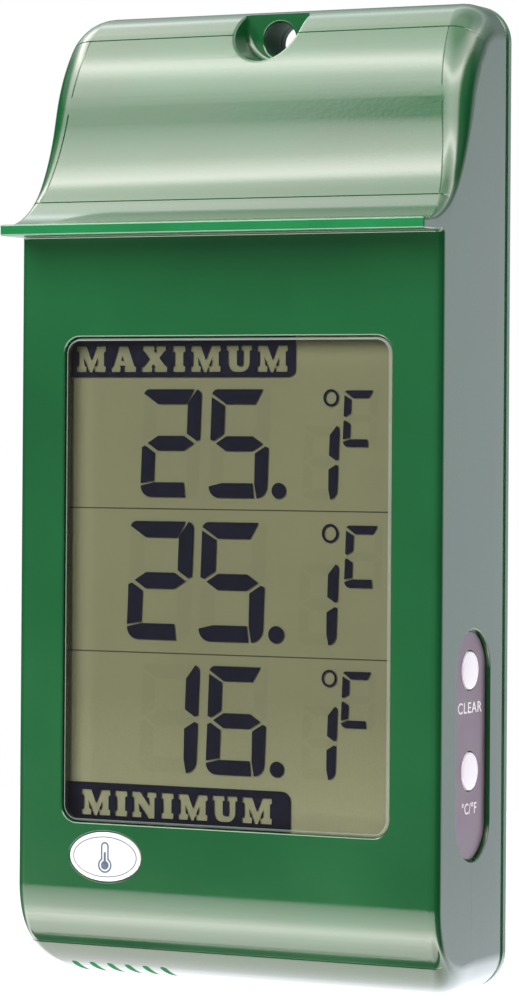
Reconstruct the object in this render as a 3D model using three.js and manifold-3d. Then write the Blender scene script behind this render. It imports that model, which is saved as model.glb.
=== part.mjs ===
// Maximum minimum thermometer for a greenhouse wall, built as the real one comes apart.
// Millimetres. +X is the user's right, +Y points into the wall, +Z is up.
// The sub-parts are laid out with the wall plane at Y = 0 and the case's lowest edge at Z = 0.
// The whole assembly is then lowered, so that the exported origin is the centre of the
// fixing hole at the wall plane, which is where the thermometer hangs.
import * as THREE from 'three';
import { mergeVertices } from 'three/addons/utils/BufferGeometryUtils.js';
import Module from 'manifold-3d';

const wasm = await Module();
wasm.setup();

// ---------- driving dimensions ----------

const WIDTH = 75.4;
const HEIGHT = 158.8;
const FACE_Y = -27.5; // the flat front face
const WALL = 2; // moulded wall thickness
const SEAM_Y = -2; // back edge of the front case
const CORNER_R = 6.2; // outline corners, seen from the back
const FACE_EDGE_R = 1.5; // fillet between the face and the sides
const HALF_W = WIDTH / 2;
const INNER_Y = FACE_Y + WALL;
const INNER_HALF_W = HALF_W - WALL;

const CROWN = { startY: -4.6, r: 11.5, angle: 0.87, sideR: 5.2 };
const LIP = { frontY: -34.3, topZ: 122.97, thickness: 1.7, edgeR: 0.45, rootR: 0.8, sideR: 0.45 };
const BOTTOM_CURVE = { depth: 16, height: 15.6 };

const WINDOW = { width: 58.7, height: 78.8, z: 65.4, cornerR: 2.8 };
const LENS = { gap: 0.2, sink: 0.2, flangeX: 31.2, flangeHeight: 82.4, backY: -24.7 };
const GLASS = { width: 60.6, height: 80.4, frontY: -24.5, thickness: 1.8 };
const REFLECTOR = { width: 57, height: 70.4, thickness: 0.2 };
const HOLDER = { halfX: 33, low: 17.2, high: 113.8, frontY: -24.4, backY: -19.3, ledgeY: -22.5 };
const ZEBRA = { halfX: 26.7, width: 2.2, offsetZ: 38 };
const BOARD = { halfX: 32, low: 17.5, high: 113.5, frontY: -19.1, thickness: 1.6 };
const BOARD_BACK = BOARD.frontY + BOARD.thickness;
const BOARD_BOSS = { x: 29.5, low: 20, high: 111, r: 2.4, pilotR: 0.95, endY: -19.2, depth: 5 };

const POCKET = { halfW: 5.8, z: 155.6, floorY: -8.5, wall: 1.6 };
const FIXING_HOLE = { r: 2.9, z: 153.9 };

const LABEL_RECESS = { y: -13.9, halfW: 6.6, low: 21.7, high: 58.5, depth: 1 };
const LABEL = { gap: 0.3, thickness: 0.25, lift: 0.05 };
const BUTTON = { r: 3, y: -13.8, holeR: 3.25, proud: 0.4, flangeR: 4.2, flangeThickness: 1 };
const BUTTON_Z = { clear: 52, unit: 36 };
const BUTTON_PAD_X = 34.5; // inner face of the thick patch behind the label recess
const SWITCH = { outerX: 32, depth: 3.4, height: 7, width: 6.2, lid: 0.5, boreR: 1.9, cavityR: 2.6 };

const VENT = { count: 6, firstX: -31.5, pitch: 3.25, width: 1.2, frontY: -19.3, backY: -6 };
const BADGE = { x: -21.1, z: 20.6, halfW: 6.55, halfH: 4, recess: 0.4, thickness: 0.5 };

const COVER = { frontY: -1.75, rimGap: 0.3, rimWall: 1.2, rimY: -4.5 };
const CASE_SCREW = { x: 31, low: 10, high: 143, bossR: 3, pilotR: 1.3, bossEndY: -4.1, headR: 2.3 };
const SEAT = { r: 3.6, y: -3.8, counterboreR: 2.6, counterboreY: -1.8, holeR: 1.5 };

const CELL = { r: 5.25, length: 44.5, nubR: 1.9, nub: 0.8, x: -21.5, y: -8.1, z: 75.5 };
const BAY = { halfX: 25.6, halfZ: 5.9, floorY: -14.2, wall: 1.4 };
const HATCH = { halfX: 26.4, halfZ: 8.5, ledgeY: -2.05, gap: 0.3, thickness: 1.7 };
const HINGE_TAB = { x: 14.5, width: 5, slot: 5.8 };
const LATCH = { halfX: 5, slotHalfX: 5.4, depthY: -3.4 };

const CONTACT = { thickness: 0.4, halfZ: 4, nearY: -3.5, farY: -12.5, tailHalfZ: 1.5, tailY: -16.2 };
const CONTACT_X = { positive: 23.3, negative: -25.3 };
const SPRING = { wireR: 0.3, baseR: 3.6, tipR: 2.2, turns: 3.25, startX: -24.2, endX: -22.2 };
const WIRE_R = 0.5;
const LEAD_R = 0.25;
const SENSOR = { x: -24, y: -12, z: 9.5, r: 1.3 };

// ---------- materials ----------

const finish = (color, roughness, metalness = 0, extra = {}) =>
  new THREE.MeshStandardMaterial({ color, roughness, metalness, ...extra });

const MATERIAL = {
  greenPlastic: finish(0x1f6e39, 0.25),
  clearPlastic: finish(0xf4f7f5, 0.05, 0, { transparent: true, opacity: 0.25 }),
  displayGlass: finish(0x8a8a6c, 0.15),
  reflector: finish(0x9a9a80, 0.4, 0.2),
  holderPlastic: finish(0xe6e6e0, 0.5),
  zebra: finish(0xe08080, 0.8),
  board: finish(0x1d5a2c, 0.45),
  epoxy: finish(0x101010, 0.35),
  tinPlate: finish(0xc4c6c8, 0.3, 1),
  capacitor: finish(0x20242c, 0.4),
  ceramic: finish(0x1a1a1c, 0.5),
  screwSteel: finish(0xb8babd, 0.3, 1),
  whitePlastic: finish(0xf4f2f6, 0.35),
  switchBlack: finish(0x18181a, 0.5),
  label: finish(0x948798, 0.55),
  cellWrap: finish(0x2c5a78, 0.3),
  springSteel: finish(0xc9ccce, 0.25, 1),
  redWire: finish(0xb01818, 0.45),
  blackWire: finish(0x161616, 0.45),
  sensorEpoxy: finish(0x202018, 0.4),
};

// ---------- solids ----------

function toSolid(geometry) {
  const bare = geometry.clone();
  bare.deleteAttribute('normal');
  bare.deleteAttribute('uv');
  const merged = mergeVertices(bare, 1e-4);
  const place = merged.attributes.position.array;
  const faces = [];
  let volume = 0;
  for (let k = 0; k < merged.index.count; k += 3) {
    const [a, b, c] = merged.index.array.slice(k, k + 3);
    if (a === b || b === c || c === a) continue;
    const [pa, pb, pc] = [a, b, c].map((i) => new THREE.Vector3().fromArray(place, 3 * i));
    volume += pa.dot(pb.cross(pc));
    faces.push([a, b, c]);
  }
  const outward = volume > 0 ? faces : faces.map(([a, b, c]) => [a, c, b]);
  return new wasm.Manifold(new wasm.Mesh({
    numProp: 3,
    vertProperties: new Float32Array(place),
    triVerts: new Uint32Array(outward.flat()),
  }));
}

function toGeometry(solid) {
  const { vertProperties, triVerts } = solid.getMesh();
  const geometry = new THREE.BufferGeometry();
  geometry.setAttribute('position', new THREE.BufferAttribute(vertProperties, 3));
  geometry.setIndex(new THREE.BufferAttribute(triVerts, 1));
  geometry.computeVertexNormals();
  return geometry;
}

const joined = (solids) => solids.reduce((all, next) => all.add(next));
const cutBy = (solid, tools) => tools.reduce((left, tool) => left.subtract(tool), solid);

function block([x0, x1], [y0, y1], [z0, z1]) {
  const box = new THREE.BoxGeometry(x1 - x0, y1 - y0, z1 - z0);
  return toSolid(box.translate((x0 + x1) / 2, (y0 + y1) / 2, (z0 + z1) / 2));
}

// A cylinder from one coordinate to another along a named axis, through the point (x, y, z).
function rod(axis, r, [from, to], { x = 0, y = 0, z = 0 }, sides = 20) {
  const bar = new THREE.CylinderGeometry(r, r, to - from, sides).translate(0, (from + to) / 2, 0);
  if (axis === 'x') bar.rotateZ(-Math.PI / 2).translate(0, y, z);
  if (axis === 'y') bar.translate(x, 0, z);
  if (axis === 'z') bar.rotateX(Math.PI / 2).translate(x, y, 0);
  return toSolid(bar);
}

// A turned piece. Each point is [distance along the axis, radius], from one end to the other.
function turned(axis, outline, { x = 0, y = 0, z = 0 }, sides = 20) {
  const points = outline.map(([along, r]) => new THREE.Vector2(r, along));
  const lathe = new THREE.LatheGeometry(points, sides);
  if (axis === 'x') lathe.rotateZ(-Math.PI / 2).translate(0, y, z);
  if (axis === 'y') lathe.translate(x, 0, z);
  return toSolid(lathe);
}

// Pushes a flat outline along an axis. The outline's own two coordinates are
// (x, z) for 'y', (y, z) for 'x' and (x, y) for 'z'.
function pushed(axis, shape, [from, to], curveSegments = 4) {
  const settings = { depth: to - from, bevelEnabled: false, curveSegments };
  const slab = new THREE.ExtrudeGeometry(shape, settings).translate(0, 0, from);
  const basis = new THREE.Matrix4();
  const [ex, ey, ez] = [[1, 0, 0], [0, 1, 0], [0, 0, 1]].map((v) => new THREE.Vector3(...v));
  if (axis === 'x') slab.applyMatrix4(basis.makeBasis(ey, ez, ex));
  if (axis === 'y') slab.applyMatrix4(basis.makeBasis(ex, ez, ey));
  return toSolid(slab);
}

function roundedRect(width, height, r, { u = 0, v = 0 } = {}) {
  const [u0, u1, v0, v1] = [u - width / 2, u + width / 2, v - height / 2, v + height / 2];
  const shape = new THREE.Shape();
  shape.moveTo(u0 + r, v0);
  shape.absarc(u1 - r, v0 + r, r, -Math.PI / 2, 0);
  shape.absarc(u1 - r, v1 - r, r, 0, Math.PI / 2);
  shape.absarc(u0 + r, v1 - r, r, Math.PI / 2, Math.PI);
  shape.absarc(u0 + r, v0 + r, r, Math.PI, 1.5 * Math.PI);
  return shape;
}

function ellipse(halfW, halfH, { u = 0, v = 0 } = {}) {
  const shape = new THREE.Shape();
  shape.absellipse(u, v, halfW, halfH, 0, 2 * Math.PI);
  return shape;
}

function wire(points, r, steps) {
  const curve = new THREE.CatmullRomCurve3(points.map((p) => new THREE.Vector3(...p)));
  const section = new THREE.Shape();
  section.absarc(0, 0, r, 0, 2 * Math.PI);
  const settings = { steps, extrudePath: curve, curveSegments: 4 };
  return toSolid(new THREE.ExtrudeGeometry(section, settings));
}

// ---------- the moulded case surface ----------

// A station is a point (y, z) of the case's side view, with the radius r of the fillet that
// turns the surface there into the flat sides. Stations run from the top of the back edge,
// forward over the hood, down the face, and back under the base.
const station = (y, z, r) => new THREE.Vector3(r, y, z);

function smoothStations(points, steps) {
  return new THREE.CatmullRomCurve3(points, false, 'centripetal').getPoints(steps);
}

// The point at a turn of `angle` from straight up towards the front, about (y, z).
const aroundPoint = (y, z, r, angle, sideR) =>
  station(y - r * Math.sin(angle), z + r * Math.cos(angle), sideR);

function quarterTurn(steps, pointAt) {
  return Array.from({ length: steps + 1 }, (_, k) => pointAt((k / steps) * (Math.PI / 2)));
}

// The rounding from the flat top down to the slope of the hood.
function crownStations(startY, top, r, endAngle, steps) {
  return Array.from({ length: steps + 1 }, (_, k) => {
    const angle = (k / steps) * endAngle;
    return aroundPoint(startY, top - r, r, angle, THREE.MathUtils.lerp(CORNER_R, CROWN.sideR, k / steps));
  });
}

function hoodStations() {
  const crown = crownStations(CROWN.startY, HEIGHT, CROWN.r, CROWN.angle, 5);
  return [...crown.slice(0, -1), ...smoothStations([
    crown.at(-1),
    station(-16.9, 148.8, 4.4),
    station(-19, 143.8, 3.7),
    station(-20, 139, 3.3),
    station(-21, 134, 2.9),
    station(-22.8, 129.5, 2.2),
    station(-24.2, 127.4, 1.9),
    station(-26.3, 125.3, 1.4),
    station(-29.3, 123.7, 0.9),
    station(LIP.frontY + LIP.edgeR, LIP.topZ, LIP.sideR),
  ], 16)];
}

function lipStations() {
  const { frontY, topZ, thickness, edgeR, rootR, sideR } = LIP;
  const lowZ = topZ - thickness;
  const edgeY = frontY + edgeR;
  const rootY = FACE_Y - rootR;
  const top = (a) => aroundPoint(edgeY, topZ - edgeR, edgeR, a, sideR);
  const low = (a) => aroundPoint(edgeY, lowZ + edgeR, edgeR, a + Math.PI / 2, sideR);
  const root = (a) => station(rootY + rootR * Math.sin(a), lowZ - rootR + rootR * Math.cos(a), sideR);
  return [...quarterTurn(2, top).slice(1), ...quarterTurn(2, low), ...quarterTurn(3, root)];
}

function bottomStations(inset, edgeR, endR) {
  const { depth, height } = BOTTOM_CURVE;
  return quarterTurn(8, (a) => station(
    FACE_Y + depth - (depth - inset) * Math.cos(a),
    height - (height - inset) * Math.sin(a),
    THREE.MathUtils.lerp(edgeR, endR, Math.sin(a)),
  ));
}

function outerStations() {
  return [
    station(SEAM_Y, HEIGHT, CORNER_R),
    ...hoodStations(),
    ...lipStations(),
    station(FACE_Y, 117, FACE_EDGE_R),
    ...bottomStations(0, FACE_EDGE_R, CORNER_R),
    station(SEAM_Y, 0, CORNER_R),
  ];
}

function innerStations() {
  const backY = 1; // past the seam, so that the case is open at the back
  const endR = CORNER_R - WALL;
  const faceR = 1;
  return [
    station(backY, HEIGHT - WALL, endR),
    ...smoothStations([
      station(-7.5, HEIGHT - WALL, endR),
      station(-11.7, 153.3, 3.2),
      station(-15.5, 147.8, 2.6),
      station(-17.1, 143, 2.2),
      station(-18.1, 138, 2),
      station(-19.2, 133, 1.8),
      station(-21.4, 128, 1.5),
      station(-24.2, 122.5, 1.2),
      station(INNER_Y, 117, faceR),
    ], 12),
    ...bottomStations(WALL, faceR, endR),
    station(backY, WALL, endR),
  ];
}

// Unit vector (y, z) into the body at each station. The first and last face straight down and up.
function inwardNormals(stations) {
  const last = stations.length - 1;
  return stations.map((_, i) => {
    if (i === 0) return [0, -1];
    if (i === last) return [0, 1];
    const step = stations[i + 1].clone().sub(stations[i - 1]);
    const length = Math.hypot(step.y, step.z);
    return [-step.z / length, step.y / length];
  });
}

function capFaces(points, loop, flatten, outward) {
  const contour = loop.map((i) => flatten(points[i]));
  return THREE.ShapeUtils.triangulateShape(contour, []).map((corners) => {
    const [a, b, c] = corners.map((k) => loop[k]);
    const edge = points[b].clone().sub(points[a]);
    const facing = edge.cross(points[c].clone().sub(points[a])).dot(outward);
    return facing > 0 ? [a, b, c] : [a, c, b];
  });
}

function caseBody(stations, halfW, arcSteps) {
  const normals = inwardNormals(stations);
  const columns = 2 * (arcSteps + 1);
  const points = stations.flatMap(({ x: r, y, z }, i) => {
    const [ny, nz] = normals[i];
    return Array.from({ length: columns }, (_, j) => {
      const side = j <= arcSteps ? -1 : 1;
      const step = j <= arcSteps ? arcSteps - j : j - arcSteps - 1;
      const turn = (step / arcSteps) * (Math.PI / 2);
      const inset = r * (1 - Math.cos(turn));
      return new THREE.Vector3(side * (halfW - r + r * Math.sin(turn)), y + ny * inset, z + nz * inset);
    });
  });

  const faces = [];
  for (let i = 0; i + 1 < stations.length; i += 1) {
    for (let j = 0; j + 1 < columns; j += 1) {
      const a = i * columns + j;
      const b = a + columns;
      faces.push([a, b, b + 1], [a, b + 1, a + 1]);
    }
  }
  const rowOf = (i) => Array.from({ length: columns }, (_, j) => i * columns + j);
  const columnOf = (j) => stations.map((_, i) => i * columns + j);
  const sideView = (p) => new THREE.Vector2(p.y, p.z);
  const frontView = (p) => new THREE.Vector2(p.x, p.z);
  const backLoop = [...rowOf(0), ...rowOf(stations.length - 1).reverse()];
  faces.push(
    ...capFaces(points, columnOf(0), sideView, new THREE.Vector3(-1, 0, 0)),
    ...capFaces(points, columnOf(columns - 1), sideView, new THREE.Vector3(1, 0, 0)),
    ...capFaces(points, backLoop, frontView, new THREE.Vector3(0, 1, 0)),
  );

  const geometry = new THREE.BufferGeometry().setFromPoints(points);
  geometry.setIndex(faces.flat());
  return toSolid(geometry);
}

// ---------- front case ----------

const mirroredPairs = ({ x, low, high }) =>
  [[-x, low], [x, low], [-x, high], [x, high]].map(([px, z]) => ({ x: px, z }));

const BOARD_FIXINGS = mirroredPairs(BOARD_BOSS);
const CASE_FIXINGS = mirroredPairs(CASE_SCREW);

// An upright slot with a round lower end, running out past the top of the case.
function pocketShape(halfW) {
  const shape = new THREE.Shape();
  shape.moveTo(-halfW, HEIGHT + 5);
  shape.absarc(0, POCKET.z, halfW, Math.PI, 2 * Math.PI);
  shape.lineTo(halfW, HEIGHT + 5);
  return shape;
}

function ventSlots() {
  const { count, firstX, pitch, width, frontY, backY } = VENT;
  return Array.from({ length: count }, (_, k) => {
    const middle = { u: firstX + k * pitch, v: (frontY + backY) / 2 };
    const slot = roundedRect(width, backY - frontY, width / 2 - 0.01, middle);
    return pushed('z', slot, [-1, 5.5], 2);
  });
}

function labelRecessShape(gap) {
  const { y, halfW, low, high } = LABEL_RECESS;
  const middle = { u: y, v: (low + high) / 2 };
  return roundedRect(2 * (halfW - gap), high - low - 2 * gap, halfW - gap - 0.01, middle);
}

function frontCase() {
  const outer = caseBody(outerStations(), HALF_W, 4);
  const hollow = caseBody(innerStations(), INNER_HALF_W, 3);
  const { width, height, z, cornerR } = WINDOW;

  const boardBosses = BOARD_FIXINGS.map((p) => rod('y', BOARD_BOSS.r, [INNER_Y - 1, BOARD_BOSS.endY], p, 16));
  const caseBosses = CASE_FIXINGS.map((p) => rod('y', CASE_SCREW.bossR, [FACE_Y, CASE_SCREW.bossEndY], p, 16));
  const pocketHousing = pushed('y', pocketShape(POCKET.halfW + POCKET.wall), [FACE_Y, 0]);
  const buttonPad = block([BUTTON_PAD_X, INNER_HALF_W + 0.5], [-21, -6.8], [20, 60]);
  const inside = joined([...boardBosses, ...caseBosses, pocketHousing, buttonPad]).intersect(outer);

  const boardPilot = (p) =>
    rod('y', BOARD_BOSS.pilotR, [BOARD_BOSS.endY - BOARD_BOSS.depth, 0], p, 12);
  const casePilot = (p) => rod('y', CASE_SCREW.pilotR, [CASE_SCREW.bossEndY - 8, 0], p, 12);
  const buttonHole = (holeZ) =>
    rod('x', BUTTON.holeR, [BUTTON_PAD_X - 1, HALF_W], { y: BUTTON.y, z: holeZ });
  return cutBy(outer.subtract(hollow).add(inside), [
    pushed('y', roundedRect(width, height, cornerR, { v: z }), [FACE_Y - 1, INNER_Y + 0.5]),
    pushed('y', pocketShape(POCKET.halfW), [LIP.frontY, POCKET.floorY], 10),
    rod('y', FIXING_HOLE.r, [POCKET.floorY - 1, 0], FIXING_HOLE),
    pushed('x', labelRecessShape(0), [HALF_W - LABEL_RECESS.depth, HALF_W + 1], 8),
    pushed('y', ellipse(BADGE.halfW + 0.2, BADGE.halfH + 0.2, { u: BADGE.x, v: BADGE.z }),
      [FACE_Y - 1, FACE_Y + BADGE.recess], 12),
    ...Object.values(BUTTON_Z).map(buttonHole),
    ...ventSlots(),
    ...BOARD_FIXINGS.map(boardPilot),
    ...CASE_FIXINGS.map(casePilot),
  ]);
}

// ---------- rear cover and battery door ----------

const hatchZ = [CELL.z - HATCH.halfZ, CELL.z + HATCH.halfZ];
const tabCentres = [-HINGE_TAB.x, HINGE_TAB.x];

function batteryBay() {
  const { halfX, halfZ, floorY, wall } = BAY;
  const outerX = halfX + wall;
  const outerZ = halfZ + wall;
  return joined([
    block([-outerX, outerX], [floorY - 1.2, -3], [CELL.z - outerZ, CELL.z + outerZ]),
    block([-HATCH.halfX - wall, HATCH.halfX + wall], [-3.6, -1], [hatchZ[0] - wall, hatchZ[1] + wall]),
  ]);
}

function tailSlot(x) {
  return block([x - 0.3, x + CONTACT.thickness + 0.3], [-16, -13], [CELL.z - 2, CELL.z + 2]);
}

function rearCover() {
  const middle = { v: HEIGHT / 2 };
  const rim = (gap) => roundedRect(
    2 * (INNER_HALF_W - gap), HEIGHT - 2 * (WALL + gap), CORNER_R - WALL - gap, middle,
  );
  const plate = pushed('y', roundedRect(WIDTH, HEIGHT, CORNER_R, middle), [COVER.frontY, 0]);
  const ring = pushed('y', rim(COVER.rimGap), [COVER.rimY, -1])
    .subtract(pushed('y', rim(COVER.rimGap + COVER.rimWall), [COVER.rimY - 1, 0]));
  const rimNotch = block([-8, 8], [COVER.rimY - 1, COVER.frontY], [146, HEIGHT]);
  const seats = CASE_FIXINGS.map((p) => rod('y', SEAT.r, [SEAT.y, -1], p));

  const bayHollow = block([-BAY.halfX, BAY.halfX], [BAY.floorY, 1],
    [CELL.z - BAY.halfZ, CELL.z + BAY.halfZ]);
  const hatchOpening = block([-HATCH.halfX, HATCH.halfX], [HATCH.ledgeY, 1], hatchZ);
  const tabSlots = tabCentres.map((x) =>
    block([x - HINGE_TAB.slot / 2, x + HINGE_TAB.slot / 2], [-4.4, -1.9], [hatchZ[0] - 1.1, CELL.z - 5]));
  const latchSlot = block([-LATCH.slotHalfX, LATCH.slotHalfX], [-3.9, -1], [CELL.z + 5, hatchZ[1]]);
  return cutBy(joined([plate, ring.subtract(rimNotch), batteryBay(), ...seats]), [
    bayHollow,
    hatchOpening,
    latchSlot,
    ...tabSlots,
    tailSlot(CONTACT_X.positive),
    tailSlot(CONTACT_X.negative),
    rod('y', FIXING_HOLE.r, [-3, 1], FIXING_HOLE),
    ...CASE_FIXINGS.map((p) => rod('y', SEAT.holeR, [-6, 1], p, 16)),
    ...CASE_FIXINGS.map((p) => rod('y', SEAT.counterboreR, [SEAT.counterboreY, 1], p)),
  ]);
}

// The door's lower edge is round about the hinge axis, so it turns inside its opening.
const DOOR_LOW_R = HATCH.thickness / 2;
const HINGE_Z = hatchZ[0] + HATCH.gap + DOOR_LOW_R;

function batteryDoor() {
  const { halfX, gap, thickness } = HATCH;
  const doorX = [-halfX + gap, halfX - gap];
  const leaf = block(doorX, [-thickness, 0], [HINGE_Z, hatchZ[1] - gap]);
  const roundEdge = rod('x', DOOR_LOW_R, doorX, { y: -DOOR_LOW_R, z: HINGE_Z }, 16);
  const latch = block([-LATCH.halfX, LATCH.halfX], [LATCH.depthY, -1],
    [hatchZ[1] - gap - 1.5, hatchZ[1] - gap]);
  const tabs = tabCentres.flatMap((x) => {
    const span = [x - HINGE_TAB.width / 2, x + HINGE_TAB.width / 2];
    return [
      block(span, [-2.6, -1], [HINGE_Z - 0.5, HINGE_Z + 0.5]),
      block(span, [-3, -2.2], [HINGE_Z - 1.9, HINGE_Z + 0.5]),
    ];
  });
  const fingerScoop = rod('x', 4, [-8, 8], { y: 3.2, z: hatchZ[1] - 4 }, 40);
  return joined([leaf, roundEdge, latch, ...tabs]).subtract(fingerScoop);
}

// ---------- window and display ----------

function windowLens() {
  const { gap, sink, flangeX, flangeHeight, backY } = LENS;
  const { width, height, z, cornerR } = WINDOW;
  const raised = roundedRect(width - 2 * gap, height - 2 * gap, cornerR - gap, { v: z });
  const flange = roundedRect(2 * flangeX, flangeHeight, cornerR, { v: z });
  return joined([
    pushed('y', raised, [FACE_Y + sink, backY - 0.3]),
    pushed('y', flange, [INNER_Y + 0.1, backY]),
  ]);
}

const centredZ = (height) => [WINDOW.z - height / 2, WINDOW.z + height / 2];

function lcdGlass() {
  const { width, height, frontY, thickness } = GLASS;
  return block([-width / 2, width / 2], [frontY, frontY + thickness], centredZ(height));
}

function lcdReflector() {
  const nearY = GLASS.frontY + GLASS.thickness + 0.1;
  const halfX = REFLECTOR.width / 2;
  return block([-halfX, halfX], [nearY, nearY + REFLECTOR.thickness], centredZ(REFLECTOR.height));
}

function lcdHolder() {
  const { halfX, low, high, frontY, backY, ledgeY } = HOLDER;
  const seatGap = 0.3;
  const seatX = GLASS.width / 2 + seatGap;
  const throughY = [frontY - 1, backY + 1];
  const zebraSlot = (side) => {
    const z = WINDOW.z + side * ZEBRA.offsetZ;
    return block([-ZEBRA.halfX - seatGap, ZEBRA.halfX + seatGap], throughY,
      [z - ZEBRA.width / 2 - seatGap, z + ZEBRA.width / 2 + seatGap]);
  };
  return cutBy(block([-halfX, halfX], [frontY, backY], [low, high]), [
    block([-seatX, seatX], [frontY - 1, ledgeY], centredZ(GLASS.height + 2 * seatGap)),
    block([-28.8, 28.8], throughY, centredZ(71)),
    zebraSlot(-1),
    zebraSlot(1),
    ...BOARD_FIXINGS.map((p) => rod('y', BOARD_BOSS.r + seatGap, throughY, p, 16)),
  ]);
}

function zebraStrip(side) {
  const z = WINDOW.z + side * ZEBRA.offsetZ;
  const nearY = GLASS.frontY + GLASS.thickness + 0.2;
  return block([-ZEBRA.halfX, ZEBRA.halfX], [nearY, BOARD.frontY - 0.2],
    [z - ZEBRA.width / 2, z + ZEBRA.width / 2]);
}

// ---------- board and what is on it ----------

function mainBoard() {
  const { halfX, low, high, frontY } = BOARD;
  const board = block([-halfX, halfX], [frontY, BOARD_BACK], [low, high]);
  return cutBy(board, BOARD_FIXINGS.map((p) => rod('y', 1.3, [frontY - 1, BOARD_BACK + 1], p, 16)));
}

function chipBlob() {
  const [r, rise] = [6.5, 1.6];
  const dome = quarterTurn(5, (a) => station(BOARD_BACK + 0.1 + rise * Math.sin(a), 0, r * Math.cos(a)))
    .map((p) => [p.y, p.x]);
  return turned('y', [[BOARD_BACK + 0.1, 0], ...dome.slice(0, -1), [BOARD_BACK + 0.1 + rise, 0]],
    { x: -8, z: 99 });
}

const onBoard = (height) => [BOARD_BACK + 0.1, BOARD_BACK + 0.1 + height];

const quartzCrystal = () =>
  rod('z', 1, [92, 98], { x: 12, y: BOARD_BACK + 1.2 }, 16);

function capacitor() {
  const [low, high] = onBoard(7);
  return turned('y', [[low, 0], [low, 2.5], [low + 0.9, 2.5], [low + 1.2, 2.3], [low + 1.5, 2.5],
    [high - 0.3, 2.5], [high, 2.2], [high, 0]], { x: 15, z: 105 }, 16);
}

const resistor = (x) => block([x - 1.6, x + 1.6], onBoard(0.6), [88.2, 89.8]);

function boardScrew({ x, z }) {
  const seatY = BOARD_BACK + 0.1;
  return turned('y', [[seatY - 6, 0], [seatY - 5.4, 0.7], [seatY, 0.7], [seatY, 1.9], [seatY + 0.7, 1.9],
    [seatY + 1.2, 1.3], [seatY + 1.2, 0]], { x, z }, 12);
}

// ---------- buttons and their switches ----------

function sideLabel() {
  const innerX = HALF_W - LABEL_RECESS.depth + LABEL.lift;
  const sheet = pushed('x', labelRecessShape(LABEL.gap), [innerX, innerX + LABEL.thickness], 8);
  return cutBy(sheet, Object.values(BUTTON_Z).map((z) =>
    rod('x', BUTTON.holeR, [innerX - 1, HALF_W], { y: BUTTON.y, z })));
}

// A round cap with a slightly crowned end, held behind the wall by its flange.
function pushButton(z) {
  const { r, y, proud, flangeR, flangeThickness } = BUTTON;
  const endX = HALF_W - LABEL_RECESS.depth + LABEL.lift + LABEL.thickness + proud;
  const flangeX = BUTTON_PAD_X - 0.3;
  return turned('x', [[flangeX - flangeThickness, 0], [flangeX - flangeThickness, flangeR],
    [flangeX, flangeR], [flangeX, r], [endX - 0.35, r], [endX - 0.1, r - 0.35], [endX, 0]], { y, z });
}

function switchBody(z) {
  const { outerX, depth, height, width, lid, boreR, cavityR } = SWITCH;
  const [nearY] = onBoard(0);
  const housing = block([outerX - depth, outerX], [nearY, nearY + height], [z - width / 2, z + width / 2]);
  const cavity = rod('x', cavityR, [outerX - depth + 0.8, outerX - lid], { y: BUTTON.y, z }, 20);
  return cutBy(housing, [cavity, rod('x', boreR, [outerX - lid - 0.5, outerX + 1], { y: BUTTON.y, z }, 20)]);
}

function switchPlunger(z) {
  const footX = SWITCH.outerX - SWITCH.lid - 0.3;
  const tipX = BUTTON_PAD_X - 0.3 - BUTTON.flangeThickness - 0.2;
  return turned('x', [[footX - 0.6, 0], [footX - 0.6, 2.3], [footX, 2.3], [footX, 1.6],
    [tipX, 1.6], [tipX, 0]], { y: BUTTON.y, z }, 20);
}

// ---------- battery, contacts, wires and sensor ----------

function aaaCell() {
  const { r, length, nubR, nub, x, y, z } = CELL;
  const shoulder = x + length - nub;
  return turned('x', [[x, 0], [x, r - 0.4], [x + 0.4, r], [shoulder - 0.5, r], [shoulder, r - 0.5],
    [shoulder, nubR], [x + length, nubR], [x + length, 0]], { y, z }, 24);
}

function contactPlate(x) {
  const { thickness, halfZ, nearY, farY, tailHalfZ, tailY } = CONTACT;
  const span = [x, x + thickness];
  return joined([
    block(span, [farY, nearY], [CELL.z - halfZ, CELL.z + halfZ]),
    block(span, [tailY, farY + 1], [CELL.z - tailHalfZ, CELL.z + tailHalfZ]),
  ]);
}

function negativeSpring() {
  const { wireR, baseR, tipR, turns, startX, endX } = SPRING;
  const count = 26;
  const coil = Array.from({ length: count + 1 }, (_, k) => {
    const part = k / count;
    const r = THREE.MathUtils.lerp(baseR, tipR, part);
    const angle = part * turns * 2 * Math.PI;
    return [
      THREE.MathUtils.lerp(startX, endX, part),
      CELL.y + r * Math.cos(angle),
      CELL.z + r * Math.sin(angle),
    ];
  });
  return wire(coil, wireR, 40);
}

function batteryWire(side) {
  const tailX = side > 0 ? CONTACT_X.positive : CONTACT_X.negative + CONTACT.thickness;
  const x = tailX - side * (WIRE_R + 0.3);
  const y = BOARD_BACK + 1.1;
  return wire([[x, y, CELL.z], [x, y, CELL.z + 5], [x - side * 1.5, y, CELL.z + 11],
    [x - side * 5, y, CELL.z + 15]], WIRE_R, 12);
}

const thermistorBead = () => toSolid(
  new THREE.SphereGeometry(SENSOR.r, 16, 10).scale(0.9, 0.9, 1.25).translate(SENSOR.x, SENSOR.y, SENSOR.z),
);

function thermistorLead(side) {
  const topZ = SENSOR.z + 1.25 * SENSOR.r + 0.3;
  const x = SENSOR.x;
  return wire([[x + side * 0.4, SENSOR.y, topZ], [x + side * 0.9, SENSOR.y - 1, topZ + 2],
    [x + side * 1.4, -15.5, 17.5], [x + side * 1.5, BOARD_BACK + 0.6, 20]], LEAD_R, 10);
}

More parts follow.
